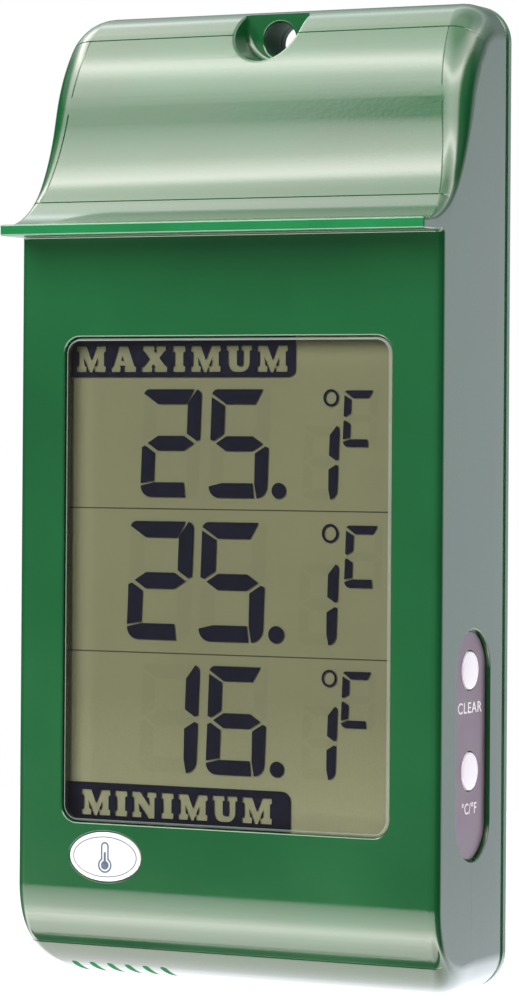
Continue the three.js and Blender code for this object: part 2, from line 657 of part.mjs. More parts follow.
function caseScrew({ x, z }) {
  const headY = -0.2;
  const seatY = SEAT.counterboreY + 0.1;
  const recess = block([x - 1.3, x + 1.3], [headY - 0.7, 1], [z - 0.3, z + 0.3])
    .add(block([x - 0.3, x + 0.3], [headY - 0.7, 1], [z - 1.3, z + 1.3]));
  return turned('y', [[-11, 0], [-9.8, 1], [seatY, 1], [seatY, CASE_SCREW.headR],
    [headY - 0.4, CASE_SCREW.headR], [headY, 1.7], [headY, 0]], { x, z }, 16).subtract(recess);
}

const badge = () => pushed('y', ellipse(BADGE.halfW, BADGE.halfH, { u: BADGE.x, v: BADGE.z }),
  [FACE_Y + BADGE.recess - 0.05 - BADGE.thickness, FACE_Y + BADGE.recess - 0.05], 12);

// ---------- assembly ----------

const thermometer = new THREE.Group();
thermometer.position.z = -FIXING_HOLE.z;

function place(name, solid, material) {
  const mesh = new THREE.Mesh(toGeometry(solid), material);
  mesh.name = name;
  thermometer.add(mesh);
}

place('front_case', frontCase(), MATERIAL.greenPlastic);
place('rear_cover', rearCover(), MATERIAL.greenPlastic);
place('battery_door', batteryDoor(), MATERIAL.greenPlastic);
place('badge', badge(), MATERIAL.whitePlastic);

place('window_lens', windowLens(), MATERIAL.clearPlastic);
place('lcd_glass', lcdGlass(), MATERIAL.displayGlass);
place('lcd_reflector', lcdReflector(), MATERIAL.reflector);
place('lcd_holder', lcdHolder(), MATERIAL.holderPlastic);
place('zebra_strip_top', zebraStrip(1), MATERIAL.zebra);
place('zebra_strip_bottom', zebraStrip(-1), MATERIAL.zebra);

place('main_board', mainBoard(), MATERIAL.board);
place('chip_blob', chipBlob(), MATERIAL.epoxy);
place('quartz_crystal', quartzCrystal(), MATERIAL.tinPlate);
place('capacitor', capacitor(), MATERIAL.capacitor);
place('resistor_1', resistor(0), MATERIAL.ceramic);
place('resistor_2', resistor(6), MATERIAL.ceramic);
BOARD_FIXINGS.forEach((p, k) => place(`board_screw_${k + 1}`, boardScrew(p), MATERIAL.screwSteel));

place('side_label', sideLabel(), MATERIAL.label);
for (const [name, z] of Object.entries(BUTTON_Z)) {
  place(`${name}_button`, pushButton(z), MATERIAL.whitePlastic);
  place(`${name}_switch_body`, switchBody(z), MATERIAL.switchBlack);
  place(`${name}_switch_plunger`, switchPlunger(z), MATERIAL.switchBlack);
}

place('aaa_cell', aaaCell(), MATERIAL.cellWrap);
place('positive_contact', contactPlate(CONTACT_X.positive), MATERIAL.springSteel);
place('negative_contact', contactPlate(CONTACT_X.negative), MATERIAL.springSteel);
place('negative_spring', negativeSpring(), MATERIAL.springSteel);
place('red_wire', batteryWire(1), MATERIAL.redWire);
place('black_wire', batteryWire(-1), MATERIAL.blackWire);
place('thermistor_bead', thermistorBead(), MATERIAL.sensorEpoxy);
place('thermistor_lead_1', thermistorLead(-1), MATERIAL.tinPlate);
place('thermistor_lead_2', thermistorLead(1), MATERIAL.tinPlate);
CASE_FIXINGS.forEach((p, k) => place(`case_screw_${k + 1}`, caseScrew(p), MATERIAL.screwSteel));

export default thermometer;
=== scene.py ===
"""The looks of a greenhouse maximum minimum thermometer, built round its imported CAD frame.

Shapes are worked out in millimetres, with z measured up from the case's lowest edge, and
written as metres in the row frame, whose origin is the centre of the fixing hole at the wall.
"""
import math

import bmesh
import bpy
from mathutils import Matrix, Vector


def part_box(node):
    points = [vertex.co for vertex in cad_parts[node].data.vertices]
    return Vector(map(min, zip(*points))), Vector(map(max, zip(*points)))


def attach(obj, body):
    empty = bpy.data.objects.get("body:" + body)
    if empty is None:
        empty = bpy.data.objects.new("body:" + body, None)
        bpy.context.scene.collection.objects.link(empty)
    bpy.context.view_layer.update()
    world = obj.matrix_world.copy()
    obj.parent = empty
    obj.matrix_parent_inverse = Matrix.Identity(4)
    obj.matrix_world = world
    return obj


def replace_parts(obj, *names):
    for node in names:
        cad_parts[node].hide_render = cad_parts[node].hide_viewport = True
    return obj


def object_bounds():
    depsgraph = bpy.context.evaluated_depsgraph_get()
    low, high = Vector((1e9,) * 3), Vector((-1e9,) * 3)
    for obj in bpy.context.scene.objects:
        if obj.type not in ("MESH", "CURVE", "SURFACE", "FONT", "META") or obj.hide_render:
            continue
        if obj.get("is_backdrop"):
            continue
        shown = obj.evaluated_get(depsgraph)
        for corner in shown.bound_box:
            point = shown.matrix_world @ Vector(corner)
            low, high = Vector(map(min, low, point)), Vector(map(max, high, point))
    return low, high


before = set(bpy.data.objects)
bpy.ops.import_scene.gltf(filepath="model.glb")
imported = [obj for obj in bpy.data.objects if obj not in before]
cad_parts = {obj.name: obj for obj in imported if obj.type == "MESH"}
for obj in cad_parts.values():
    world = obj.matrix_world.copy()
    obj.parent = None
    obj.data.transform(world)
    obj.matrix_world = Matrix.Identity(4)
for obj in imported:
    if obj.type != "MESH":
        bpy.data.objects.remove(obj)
cad_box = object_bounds()

# ---------- driving dimensions ----------

MM = 0.001
MERGE = 1e-6
BASE_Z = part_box("front_case")[0].z


def place(x, y, z):
    """A place in millimetres above the case's base, in metres in the row frame."""
    return Vector((x * MM, y * MM, BASE_Z + z * MM))


def span(node):
    """A CAD node's lowest and highest corners, in millimetres above the case's base."""
    low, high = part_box(node)
    rise = Vector((0, 0, BASE_Z))
    return (low - rise) / MM, (high - rise) / MM


CASE_LOW, CASE_HIGH = span("front_case")
LENS_LOW, LENS_HIGH = span("window_lens")
GLASS_LOW, GLASS_HIGH = span("lcd_glass")
BADGE_LOW, BADGE_HIGH = span("badge")
BADGE_MIDDLE, BADGE_HALF = (BADGE_LOW + BADGE_HIGH) / 2, (BADGE_HIGH - BADGE_LOW) / 2
LABEL_LOW, LABEL_HIGH = span("side_label")
COVER_HIGH = span("rear_cover")[1]

HALF_W = CASE_HIGH.x
HEIGHT = CASE_HIGH.z
SEAM_Y = CASE_HIGH.y
LIP_Y = CASE_LOW.y
FACE_Y = LENS_LOW.y - 0.2
WALL = 2
CORNER_R = 6.2
FACE_EDGE_R = 1.5

HOLE_Z = -BASE_Z / MM
HOLE_R = 2.9
POCKET_HALF_W = 5.8
POCKET_Z = 155.6
POCKET_FLOOR_Y = -8.5

WINDOW_W = 58.7
WINDOW_H = 78.8
WINDOW_Z = (LENS_LOW.z + LENS_HIGH.z) / 2
WINDOW_R = 2.8

# ---------- meshes ----------


def link(name, mesh):
    obj = bpy.data.objects.new(name, mesh)
    bpy.context.scene.collection.objects.link(obj)
    return obj


def solid(name, points, faces):
    """A closed mesh from points in millimetres, with its faces turned outward."""
    mesh = bpy.data.meshes.new(name)
    mesh.from_pydata([place(*p) for p in points], [], faces)
    work = bmesh.new()
    work.from_mesh(mesh)
    bmesh.ops.remove_doubles(work, verts=work.verts, dist=MERGE)
    bmesh.ops.recalc_face_normals(work, faces=work.faces)
    many_sided = [face for face in work.faces if len(face.verts) > 4]
    bmesh.ops.triangulate(work, faces=many_sided, ngon_method="EAR_CLIP")
    work.to_mesh(mesh)
    work.free()
    return link(name, mesh)


def ringed(name, rings):
    """A closed solid through rings that hold equally many points, with a flat face at each end."""
    count = len(rings[0])
    faces = [list(range(count)), [len(rings) * count - 1 - k for k in range(count)]]
    for i in range(len(rings) - 1):
        for j in range(count):
            a, b = i * count + j, i * count + (j + 1) % count
            faces.append([a, b, b + count, a + count])
    return solid(name, [p for ring in rings for p in ring], faces)


def arc(u, v, r, start, end, steps):
    """Points (u, v) along an arc, angles in degrees."""
    angles = [math.radians(start + (end - start) * k / steps) for k in range(steps + 1)]
    return [(u + r * math.cos(a), v + r * math.sin(a)) for a in angles]


def quarter(steps):
    """The angles, in radians, that part a quarter turn into equal steps."""
    return [math.pi / 2 * k / steps for k in range(steps + 1)]


def rounded_rect(width, height, r, centre=(0, 0), steps=10):
    u, v = centre
    du, dv = width / 2 - r, height / 2 - r
    return [
        *arc(u + du, v - dv, r, -90, 0, steps),
        *arc(u + du, v + dv, r, 0, 90, steps),
        *arc(u - du, v + dv, r, 90, 180, steps),
        *arc(u - du, v - dv, r, 180, 270, steps),
    ]


def ellipse(half_w, half_h, centre=(0, 0), steps=64):
    turn = 2 * math.pi / steps
    return [(centre[0] + half_w * math.cos(k * turn), centre[1] + half_h * math.sin(k * turn))
            for k in range(steps)]


AXES = {
    "x": lambda u, v, w: (w, u, v),
    "y": lambda u, v, w: (u, w, v),
    "z": lambda u, v, w: (u, v, w),
}


def outline_normals(outline):
    """The outward unit normal at each point of a closed anticlockwise outline."""
    normals = []
    for k, _ in enumerate(outline):
        before, after = Vector(outline[k - 1]), Vector(outline[(k + 1) % len(outline)])
        along = (after - before).normalized()
        normals.append((along.y, -along.x))
    return normals


def levelled(name, axis, outline, levels):
    """An outline pushed along an axis. Each level is (how far the outline grows, where it is)."""
    normals = outline_normals(outline)
    return ringed(name, [
        [AXES[axis](u + nu * grow, v + nv * grow, along) for (u, v), (nu, nv) in zip(outline, normals)]
        for grow, along in levels
    ])


def pushed(name, axis, outline, start, end):
    return levelled(name, axis, outline, [(0, start), (0, end)])


def rod(name, axis, r, start, end, centre, steps=40):
    return pushed(name, axis, ellipse(r, r, centre, steps), start, end)


def block(name, low, high):
    corners = [(low[0], low[1]), (high[0], low[1]), (high[0], high[1]), (low[0], high[1])]
    return pushed(name, "z", corners, low[2], high[2])


def eased(r, start, end, steps=5):
    """Levels of a rounded edge: from r outside the outline at start to the outline itself at end."""
    return [(r * (1 - math.sin(t)), start + (end - start) * (1 - math.cos(t)))
            for t in quarter(steps)]


def evaluated_mesh(obj):
    """A new mesh from the object, once its modifiers or curve settings are worked out."""
    return bpy.data.meshes.new_from_object(obj.evaluated_get(bpy.context.evaluated_depsgraph_get()))


def bake(obj):
    """Applies the object's modifiers to its mesh."""
    mesh = evaluated_mesh(obj)
    obj.modifiers.clear()
    obj.data = mesh
    return obj


def combine(obj, tools, operation="DIFFERENCE"):
    """Cuts or joins the tools, which are used up, one after the other."""
    for tool in tools:
        modifier = obj.modifiers.new(tool.name, "BOOLEAN")
        modifier.solver = "MANIFOLD"
        modifier.operation = operation
        modifier.object = tool
    bake(obj)
    for tool in tools:
        bpy.data.objects.remove(tool)
    return obj


def smooth(obj, angle=32):
    """Smooth shading that stays crisp at edges sharper than the angle and flat on large faces."""
    obj.data.polygons.foreach_set("use_smooth", [True] * len(obj.data.polygons))
    obj.data.set_sharp_from_angle(angle=math.radians(angle))
    modifier = obj.modifiers.new("weighted normals", "WEIGHTED_NORMAL")
    modifier.keep_sharp = True
    modifier.weight = 80
    return obj


# ---------- the moulded case surface ----------

# A station is (y, z, r, depth): a point of the case's side view, the radius of the fillet that
# turns the surface there into the flat sides, and how deep a crease is pressed in. They run from
# the top of the back edge, forward over the hood, down the face, and back under the base.


def station(y, z, r, depth=0):
    return Vector((y, z, r, depth))


def spline(points, steps):
    """A centripetal Catmull-Rom curve through the points, with that many steps to each one."""
    ends = [2 * points[0] - points[1], *points, 2 * points[-1] - points[-2]]
    found = [points[0]]
    for p0, p1, p2, p3 in zip(ends, ends[1:], ends[2:], ends[3:]):
        d0, d1, d2 = (math.sqrt((b - a).length) for a, b in ((p0, p1), (p1, p2), (p2, p3)))
        t1 = ((p1 - p0) / d0 - (p2 - p0) / (d0 + d1) + (p2 - p1) / d1) * d1
        t2 = ((p2 - p1) / d1 - (p3 - p1) / (d1 + d2) + (p3 - p2) / d2) * d1
        for k in range(1, steps + 1):
            t = k / steps
            found.append(p1 + t1 * t + (3 * (p2 - p1) - 2 * t1 - t2) * t ** 2
                         + (2 * (p1 - p2) + t1 + t2) * t ** 3)
    return found


def turn(steps, point_at, angle=math.pi / 2):
    return [point_at(k / steps * angle) for k in range(steps + 1)]


def crown(start_y, top, r, angle, side_r, steps):
    """The rounding from the flat top down to the slope of the hood."""
    return turn(steps, lambda a: station(
        start_y - r * math.sin(a),
        top - r + r * math.cos(a),
        CORNER_R + (side_r - CORNER_R) * a / angle,
    ), angle)


def bottom(inset, edge_r, end_r, steps):
    """The quarter ellipse from the face back to the base."""
    depth, height = 16, 15.6
    return turn(steps, lambda a: station(
        FACE_Y + depth - (depth - inset) * math.cos(a),
        height - (height - inset) * math.sin(a),
        edge_r + (end_r - edge_r) * math.sin(a) ** 4,
    ))


# The hood in side view. An arc is (radius, lean from upright where it ends, in degrees).
CROWN_START_Y = -4.6
CROWN_R = 11.5
CROWN_TURN = 54
CROWN_FILLET = 5
EASE_ARC = (27, 10)
STRAIGHT = 3
FLARE_ARCS = [(36, 26), (14, 66), (12, 90)]
FILLET_GROWTH = 4.7


def hood_fillet(z):
    """The fillet of the hood's side edges, wide at the crown and fine at the lip."""
    full_below_top = 5
    share = max(0, z - LIP_TOP_Z) / (HEIGHT - full_below_top - LIP_TOP_Z)
    return LIP_EDGE_R + FILLET_GROWTH * share ** 0.6


def hood_arc(stations, lean, r, end, steps=14):
    """Adds an arc, tangent to the last station, that turns from one lean to another."""
    y, z = stations[-1].xy
    for k in range(1, steps + 1):
        a = lean + (end - lean) * k / steps
        at = z - r * abs(math.sin(a) - math.sin(lean))
        stations.append(station(y - r * abs(math.cos(a) - math.cos(lean)), at, hood_fillet(at)))


def hood_stations():
    """The crown, an arc that eases upright, a straight stretch and the flare out to the lip."""
    angle = math.radians(CROWN_TURN)
    stations = crown(CROWN_START_Y, HEIGHT, CROWN_R, angle, CROWN_FILLET, 18)
    lean = math.pi / 2 - angle
    r, end = EASE_ARC
    hood_arc(stations, lean, r, math.radians(end))
    lean = math.radians(end)
    y, z = stations[-1].xy
    stations.append(station(y - STRAIGHT * math.tan(lean), z - STRAIGHT, hood_fillet(z - STRAIGHT)))
    for r, end in FLARE_ARCS:
        hood_arc(stations, lean, r, math.radians(end))
        lean = math.radians(end)
    stations[-1] = station(LIP_Y + LIP_EDGE_R, LIP_TOP_Z, LIP_EDGE_R)
    return stations


LIP_TOP_Z = 122.97
LIP_EDGE_R = 0.32
LIP_THICKNESS = 1.85
LIP_ROOT_R = 0.25


def lip_stations():
    r, root = LIP_EDGE_R, LIP_ROOT_R
    edge_y = LIP_Y + r
    top_z = LIP_TOP_Z
    low_z = top_z - LIP_THICKNESS
    return [
        *turn(6, lambda a: station(edge_y - r * math.sin(a), top_z - r + r * math.cos(a), r))[1:],
        *turn(6, lambda a: station(edge_y - r * math.cos(a), low_z + r - r * math.sin(a), r)),
        *turn(6, lambda a: station(
            FACE_Y - root + root * math.sin(a), low_z - root + root * math.cos(a),
            r + (FACE_EDGE_R - r) * a / (math.pi / 2))),
    ]


def creased(stations, at_z):
    """Adds a fine crease across the stations where they pass the height at_z."""
    lengths = [0]
    for a, b in zip(stations, stations[1:]):
        lengths.append(lengths[-1] + (b.xy - a.xy).length)
    here = next(k for k in range(len(stations) - 1) if stations[k].y >= at_z > stations[k + 1].y)
    share = (stations[here].y - at_z) / (stations[here].y - stations[here + 1].y)
    middle = lengths[here] + share * (lengths[here + 1] - lengths[here])

    def along(length, depth=0):
        k = next(i for i in range(len(lengths) - 1) if lengths[i + 1] >= length)
        part = (length - lengths[k]) / (lengths[k + 1] - lengths[k])
        found = stations[k].lerp(stations[k + 1], part)
        found.w = depth
        return found

    return [
        *[s for s, length in zip(stations, lengths) if length < middle - CREASE_HALF_W],
        along(middle - CREASE_HALF_W),
        along(middle, CREASE_DEPTH),
        along(middle + CREASE_HALF_W),
        *[s for s, length in zip(stations, lengths) if length > middle + CREASE_HALF_W],
    ]


CREASE_HALF_W = 0.13
CREASE_DEPTH = 0.12
CREASE_TOP_Z = 154.4
CREASE_LOW_Z = 127
BASE_CREASE_Z = 5.7


def outer_stations():
    plain = [
        station(SEAM_Y, HEIGHT, CORNER_R),
        *hood_stations(),
        *lip_stations(),
        station(FACE_Y, 117, FACE_EDGE_R),
        *bottom(0, FACE_EDGE_R, CORNER_R, 40),
        station(SEAM_Y, 0, CORNER_R),
    ]
    for at_z in (CREASE_TOP_Z, CREASE_LOW_Z, BASE_CREASE_Z):
        plain = creased(plain, at_z)
    return plain


def inner_stations():
    end_r = CORNER_R - WALL
    slope = [(-7.5, HEIGHT - WALL, end_r), (-11.7, 153.3, 3.2), (-15.5, 147.8, 2.6),
             (-17.1, 143, 2.2), (-18.1, 138, 2), (-19.2, 133, 1.8), (-21.4, 128, 1.5),
             (-24.2, 122.5, 1.2), (FACE_Y + WALL, 117, 1)]
    return [
        station(1, HEIGHT - WALL, end_r),
        *spline([station(*s) for s in slope], 2),
        *bottom(WALL, 1, end_r, 8),
        station(1, WALL, end_r),
    ]


def inward_normals(stations):
    last = len(stations) - 1
    normals = []
    for k in range(last + 1):
        step = (stations[min(k + 1, last)].xy - stations[max(k - 1, 0)].xy).normalized()
        normals.append(Vector((-step.y, step.x)))
    normals[0], normals[last] = Vector((0, -1)), Vector((0, 1))
    return normals


def hood_crease(s):
    """How deep the crease beside the hood's front patch is at a station."""
    inside = CREASE_LOW_Z < s.y < CREASE_TOP_Z and s.x > FACE_Y
    return CREASE_DEPTH if inside else 0


def swept_case(name, stations, half_w, arc_steps, crease=None):
    """The case's outer or inner form: the side view drawn across, with filleted side edges."""
    normals = inward_normals(stations)
    turns = quarter(arc_steps)
    rows = []
    for s, normal in zip(stations, normals):
        r = s.z
        half = [(half_w - r + r * math.sin(t), r * (1 - math.cos(t)) + s.w * math.cos(t) ** 3)
                for t in turns]
        if crease:
            flat = half_w - r
            half = [(flat - 2 * CREASE_HALF_W, s.w), (flat - CREASE_HALF_W, max(s.w, crease(s))), *half]
        across = [(-x, inset) for x, inset in reversed(half)] + half
        rows.append([(x, s.x + normal.x * inset, s.y + normal.y * inset) for x, inset in across])
    return ringed(name, list(zip(*rows)))


# ---------- the front case ----------


def hood_surface():
    """The hood's line in side view as (y, z, unit normal out of the surface)."""
    line = hood_stations()
    return [(s.x, s.y, -n) for s, n in zip(line, inward_normals(line))]


def hood_at(z, line):
    for (y0, z0, n0), (y1, z1, n1) in zip(line, line[1:]):
        if z0 >= z > z1:
            share = (z0 - z) / (z0 - z1)
            normal = n0.lerp(n1, share).normalized()
            return y0 + (y1 - y0) * share, Vector((0, normal.x, normal.y))
    return line[0][0], Vector((0, 0, 1))


def pocket_outline(half_w):
    top = HEIGHT + 5
    return [*arc(0, POCKET_Z, half_w, 180, 360, 36), (half_w, top), (-half_w, top)]


def pocket_rim(r):
    """The bar that rounds the pocket's rim, from the pocket floor round its lower end and back."""
    line = hood_surface()
    end_z = next(z for y, z, _ in line if y < POCKET_FLOOR_Y)
    sides = [end_z + (POCKET_Z - end_z) * k / 6 for k in range(6)]
    rim = [(-POCKET_HALF_W, z) for z in sides]
    rim += arc(0, POCKET_Z, POCKET_HALF_W, 180, 360, 48)
    rim += [(POCKET_HALF_W, z) for z in reversed(sides)]
    rings = []
    for x, z in rim:
        y, outward = hood_at(z, line)
        at = Vector((x, y, z))
        away = Vector((x, 0, min(z - POCKET_Z, 0))).normalized()
        down_wall = (-outward + outward.dot(away) * away).normalized()
        over = (away - away.dot(outward) * outward).normalized()
        edge = [(1 - t) ** 2 * (at + over * r) + 2 * t * (1 - t) * at + t ** 2 * (at + down_wall * r)
                for t in (k / 6 for k in range(7))]
        clear = at + outward * 1.2 * r
        back = over * 0.8 * r
        rings.append([*edge, at - back + down_wall * r, clear - back, clear + over * r])
    return ringed("rim", rings)


def mirrored_pairs(x, low, high):
    return [(-x, low), (x, low), (-x, high), (x, high)]


BOARD_FIXINGS = mirrored_pairs(29.5, 20, 111)
CASE_FIXINGS = mirrored_pairs(31, 10, 143)
BUTTONS = {name: (span(name)[0] + span(name)[1]) / 2 for name in ("clear_button", "unit_button")}
LABEL_DEPTH = 1
BUTTON_PAD_X = 34.5
BUTTON_HOLE_R = 3.25
VENT_COUNT, VENT_PITCH = 6, 3.29
VENT_FIRST_X, VENT_Y = -31, -12.95
VENT_WIDE, VENT_LONG, VENT_END_R, VENT_DEEP = 1.2, 13.9, 0.59, 5.5


def window_cutter():
    outline = rounded_rect(WINDOW_W, WINDOW_H, WINDOW_R, (0, WINDOW_Z))
    rim = 0.3
    return levelled("window", "y", outline, [
        (rim, FACE_Y - 1),
        *eased(rim, FACE_Y, FACE_Y + rim),
        (0, FACE_Y + WALL + 0.5),
    ])


def badge_cutter():
    gap = 0.2
    outline = ellipse(BADGE_HALF.x + gap, BADGE_HALF.z + gap, (BADGE_MIDDLE.x, BADGE_MIDDLE.z))
    rim = 0.12
    return levelled("badge recess", "y", outline, [
        (rim, FACE_Y - 1),
        *eased(rim, FACE_Y, FACE_Y + rim),
        (0, FACE_Y + 0.4),
    ])


def label_outline(gap):
    middle = (LABEL_LOW + LABEL_HIGH) / 2
    half_w = (LABEL_HIGH.y - LABEL_LOW.y) / 2 + 0.3 - gap
    half_h = (LABEL_HIGH.z - LABEL_LOW.z) / 2 + 0.3 - gap
    return rounded_rect(2 * half_w, 2 * half_h, half_w - 0.01, (middle.y, middle.z), 24)


def label_cutter():
    rim = 0.2
    return levelled("label recess", "x", label_outline(0), [
        (0, HALF_W - LABEL_DEPTH),
        *reversed(eased(rim, HALF_W, HALF_W - rim)),
        (rim, HALF_W + 1),
    ])


def vent_cutters():
    return [
        pushed("vent", "z", rounded_rect(VENT_WIDE, VENT_LONG, VENT_END_R,
                                         (VENT_FIRST_X + VENT_PITCH * k, VENT_Y), 5), -1, VENT_DEEP)
        for k in range(VENT_COUNT)
    ]


def pocket_cutter():
    floor_r = 0.9
    return levelled("pocket", "y", pocket_outline(POCKET_HALF_W), [
        (0, LIP_Y),
        *[(-floor_r * (1 - math.cos(t)), POCKET_FLOOR_Y - floor_r + floor_r * math.sin(t))
          for t in quarter(5)],
    ])


def hole_cutter():
    """The through hole for the wall screw, with its edge eased."""
    rim = 0.45
    return levelled("fixing hole", "y", ellipse(HOLE_R, HOLE_R, (0, HOLE_Z), 48), [
        (rim, POCKET_FLOOR_Y - 1),
        *eased(rim, POCKET_FLOOR_Y, POCKET_FLOOR_Y + rim),
        (0, 1),
    ])


def seam_cutter():
    """The ring that rounds the back edge of the case into the seam."""
    r = 0.6
    outline = rounded_rect(2 * HALF_W, HEIGHT, CORNER_R, (0, HEIGHT / 2))
    edge = [(-r * (1 - math.cos(t)), SEAM_Y - r + r * math.sin(t))
            for t in quarter(5)]
    inner = [(0.02, SEAM_Y - r - 0.05), *edge, (-r, SEAM_Y + 1)]
    outer = [(2, SEAM_Y + 1), (2, SEAM_Y - r - 0.05)]
    return looped("seam", "y", outline, inner + outer)


def looped(name, axis, outline, section):
    """A closed ring whose section, points of (growth, place along the axis), follows the outline."""
    normals = outline_normals(outline)
    count = len(section)
    points = [AXES[axis](u + nu * grow, v + nv * grow, along)
              for (u, v), (nu, nv) in zip(outline, normals) for grow, along in section]
    faces = []
    for i in range(len(outline)):
        after = (i + 1) % len(outline)
        for j in range(count):
            k = (j + 1) % count
            faces.append([i * count + j, i * count + k, after * count + k, after * count + j])
    return solid(name, points, faces)


def front_case():
    """The moulded front half, with its window, hanging pocket, recesses, vents and bosses."""
    case = swept_case("front_case_shell", outer_stations(), HALF_W, 10, hood_crease)
    outer = swept_case("outer", outer_stations(), HALF_W, 4)
    hollow = swept_case("hollow", inner_stations(), HALF_W - WALL, 3)
    inner_y = FACE_Y + WALL
    combine(case, [hollow])

    inside = pushed("pocket housing", "y", pocket_outline(POCKET_HALF_W + 1.6), FACE_Y, 0)
    bosses = [rod("boss", "y", 2.4, inner_y - 1, -19.2, p, 24) for p in BOARD_FIXINGS]
    bosses += [rod("boss", "y", 3, FACE_Y, -4.1, p, 24) for p in CASE_FIXINGS]
    bosses.append(block("button pad", (BUTTON_PAD_X, -21, 20), (HALF_W - WALL + 0.5, -6.8, 60)))
    combine(inside, bosses, "UNION")
    combine(inside, [outer], "INTERSECT")
    combine(case, [inside], "UNION")

    pilots = [rod("pilot", "y", 0.95, -24.2, 0, p, 16) for p in BOARD_FIXINGS]
    pilots += [rod("pilot", "y", 1.3, -12.1, 0, p, 16) for p in CASE_FIXINGS]
    holes = [rod("button hole", "x", BUTTON_HOLE_R, BUTTON_PAD_X - 1, HALF_W, (p.y, p.z))
             for p in BUTTONS.values()]
    return combine(case, [
        window_cutter(), badge_cutter(), label_cutter(), pocket_cutter(), pocket_rim(0.45),
        hole_cutter(), seam_cutter(), *vent_cutters(), *pilots, *holes,
    ])


# ---------- rear cover and battery door ----------

HATCH_LOW, HATCH_HIGH = span("battery_door")
CELL_LOW, CELL_HIGH = span("aaa_cell")
CELL_Y = (CELL_LOW.y + CELL_HIGH.y) / 2
CELL_Z = (CELL_LOW.z + CELL_HIGH.z) / 2
HATCH_HALF_X = HATCH_HIGH.x + 0.3
HATCH_THICK = 1.7
HINGE_R = HATCH_THICK / 2
TAB_REACH = 1.9
HINGE_Z = HATCH_LOW.z + TAB_REACH
HATCH_Z = (HINGE_Z - HINGE_R - 0.3, HATCH_HIGH.z + 0.3)
TAB_X = 14.5


def rim_outline(gap):
    inset = WALL + gap
    return rounded_rect(2 * (HALF_W - inset), HEIGHT - 2 * inset, CORNER_R - inset, (0, HEIGHT / 2), 16)


def cover_plate():
    front, soft, hard = COVER_HIGH.y - 1.75, 0.45, 0.35
    outline = rounded_rect(2 * HALF_W, HEIGHT, CORNER_R, (0, HEIGHT / 2), 16)
    turns = quarter(5)
    return levelled("rear_cover_shell", "y", outline, [
        *[(-soft * (1 - math.sin(t)), front + soft * (1 - math.cos(t))) for t in turns],
        *[(-hard * (1 - math.cos(t)), -hard + hard * math.sin(t)) for t in turns],
    ])


def rear_cover():
    """The flat back, with the rim that centres it in the case, the cell's bay and the screw seats."""
    cover = cover_plate()
    ring = pushed("rim", "y", rim_outline(0.3), -4.5, -1)
    combine(ring, [
        pushed("rim hollow", "y", rim_outline(1.5), -5.5, 0),
        block("pocket notch", (-8, -5.5, 146), (8, -1.75, HEIGHT)),
    ])
    bay = [
        block("bay", (-27, -15.4, CELL_Z - 7.3), (27, -3, CELL_Z + 7.3)),
        block("frame", (-27.8, -3.6, HATCH_Z[0] - 1.4), (27.8, -1, HATCH_Z[1] + 1.4)),
    ]
    seats = [rod("seat", "y", 3.6, -3.8, -1, p) for p in CASE_FIXINGS]
    combine(cover, [ring, *bay, *seats], "UNION")

    tails = [block("tail slot", (x - 0.3, -16, CELL_Z - 2), (x + 0.7, -13, CELL_Z + 2))
             for x in (span("positive_contact")[0].x, span("negative_contact")[0].x)]
    tabs = [block("tab slot", (x - 2.9, -4.4, HATCH_Z[0] - 1.1), (x + 2.9, -1.9, CELL_Z - 5))
            for x in (-TAB_X, TAB_X)]
    opening = [(-HATCH_HALF_X, HATCH_Z[0]), (HATCH_HALF_X, HATCH_Z[0]),
               (HATCH_HALF_X, HATCH_Z[1]), (-HATCH_HALF_X, HATCH_Z[1])]
    return combine(cover, [
        block("bay hollow", (-25.6, -14.2, CELL_Z - 5.9), (25.6, 1, CELL_Z + 5.9)),
        levelled("hatch", "y", opening, [(0, -2.05), (0, -0.15), (0.3, 0.15), (0.3, 1)]),
        block("latch slot", (-5.4, -3.9, CELL_Z + 5), (5.4, -1, HATCH_Z[1])),
        *tabs,
        *tails,
        levelled("fixing hole", "y", ellipse(HOLE_R, HOLE_R, (0, HOLE_Z), 48),
                 [(0, -3), (0, -0.3), (0.4, 0.1), (0.4, 1)]),
        *[rod("screw hole", "y", 1.5, -6, 1, p, 24) for p in CASE_FIXINGS],
        *[levelled("counterbore", "y", ellipse(2.6, 2.6, p, 48),
                   [(0, -1.8), (0, -0.25), (0.3, 0.05), (0.3, 1)]) for p in CASE_FIXINGS],
    ])


def battery_door():
    """The hatch: round along its hinge edge, with two tabs, a snap latch and a finger scoop."""
    low_x, high_x = HATCH_LOW.x, HATCH_HIGH.x
    top = HATCH_HIGH.z
    edge = 0.3
    profile = [
        *arc(-HINGE_R, HINGE_Z, HINGE_R, 180, 360, 20),
        *arc(-edge, top - edge, edge, 0, 90, 4),
        (-HATCH_THICK, top),
    ]
    ease = 0.25
    door = levelled("battery_door_leaf", "x", profile, [
        (-ease, low_x), (0, low_x + ease), (0, high_x - ease), (-ease, high_x)])
    tabs = []
    for x in (-TAB_X, TAB_X):
        tabs.append(block("tab", (x - 2.5, -2.6, HINGE_Z - 0.5), (x + 2.5, -1, HINGE_Z + 0.5)))
        tabs.append(block("tab end", (x - 2.5, -3, HINGE_Z - TAB_REACH), (x + 2.5, -2.2, HINGE_Z + 0.5)))
    latch = levelled("latch", "x", [(-3.1, top - 1.5), (-1, top - 1.5), (-1, top), (-2.6, top),
                                    (-3.4, top - 0.5), (-3.4, top - 1.2)], [(0, -5), (0, 5)])
    combine(door, [latch, *tabs], "UNION")
    scoop = rod("scoop", "x", 4, -8, 8, (3.2, top - 3.7), 64)
    ribs = [rod("groove", "x", 0.45, -8, 8, (0.2, HINGE_Z + 2.6 + 1.5 * k), 16) for k in range(3)]
    return combine(door, [scoop, *ribs])


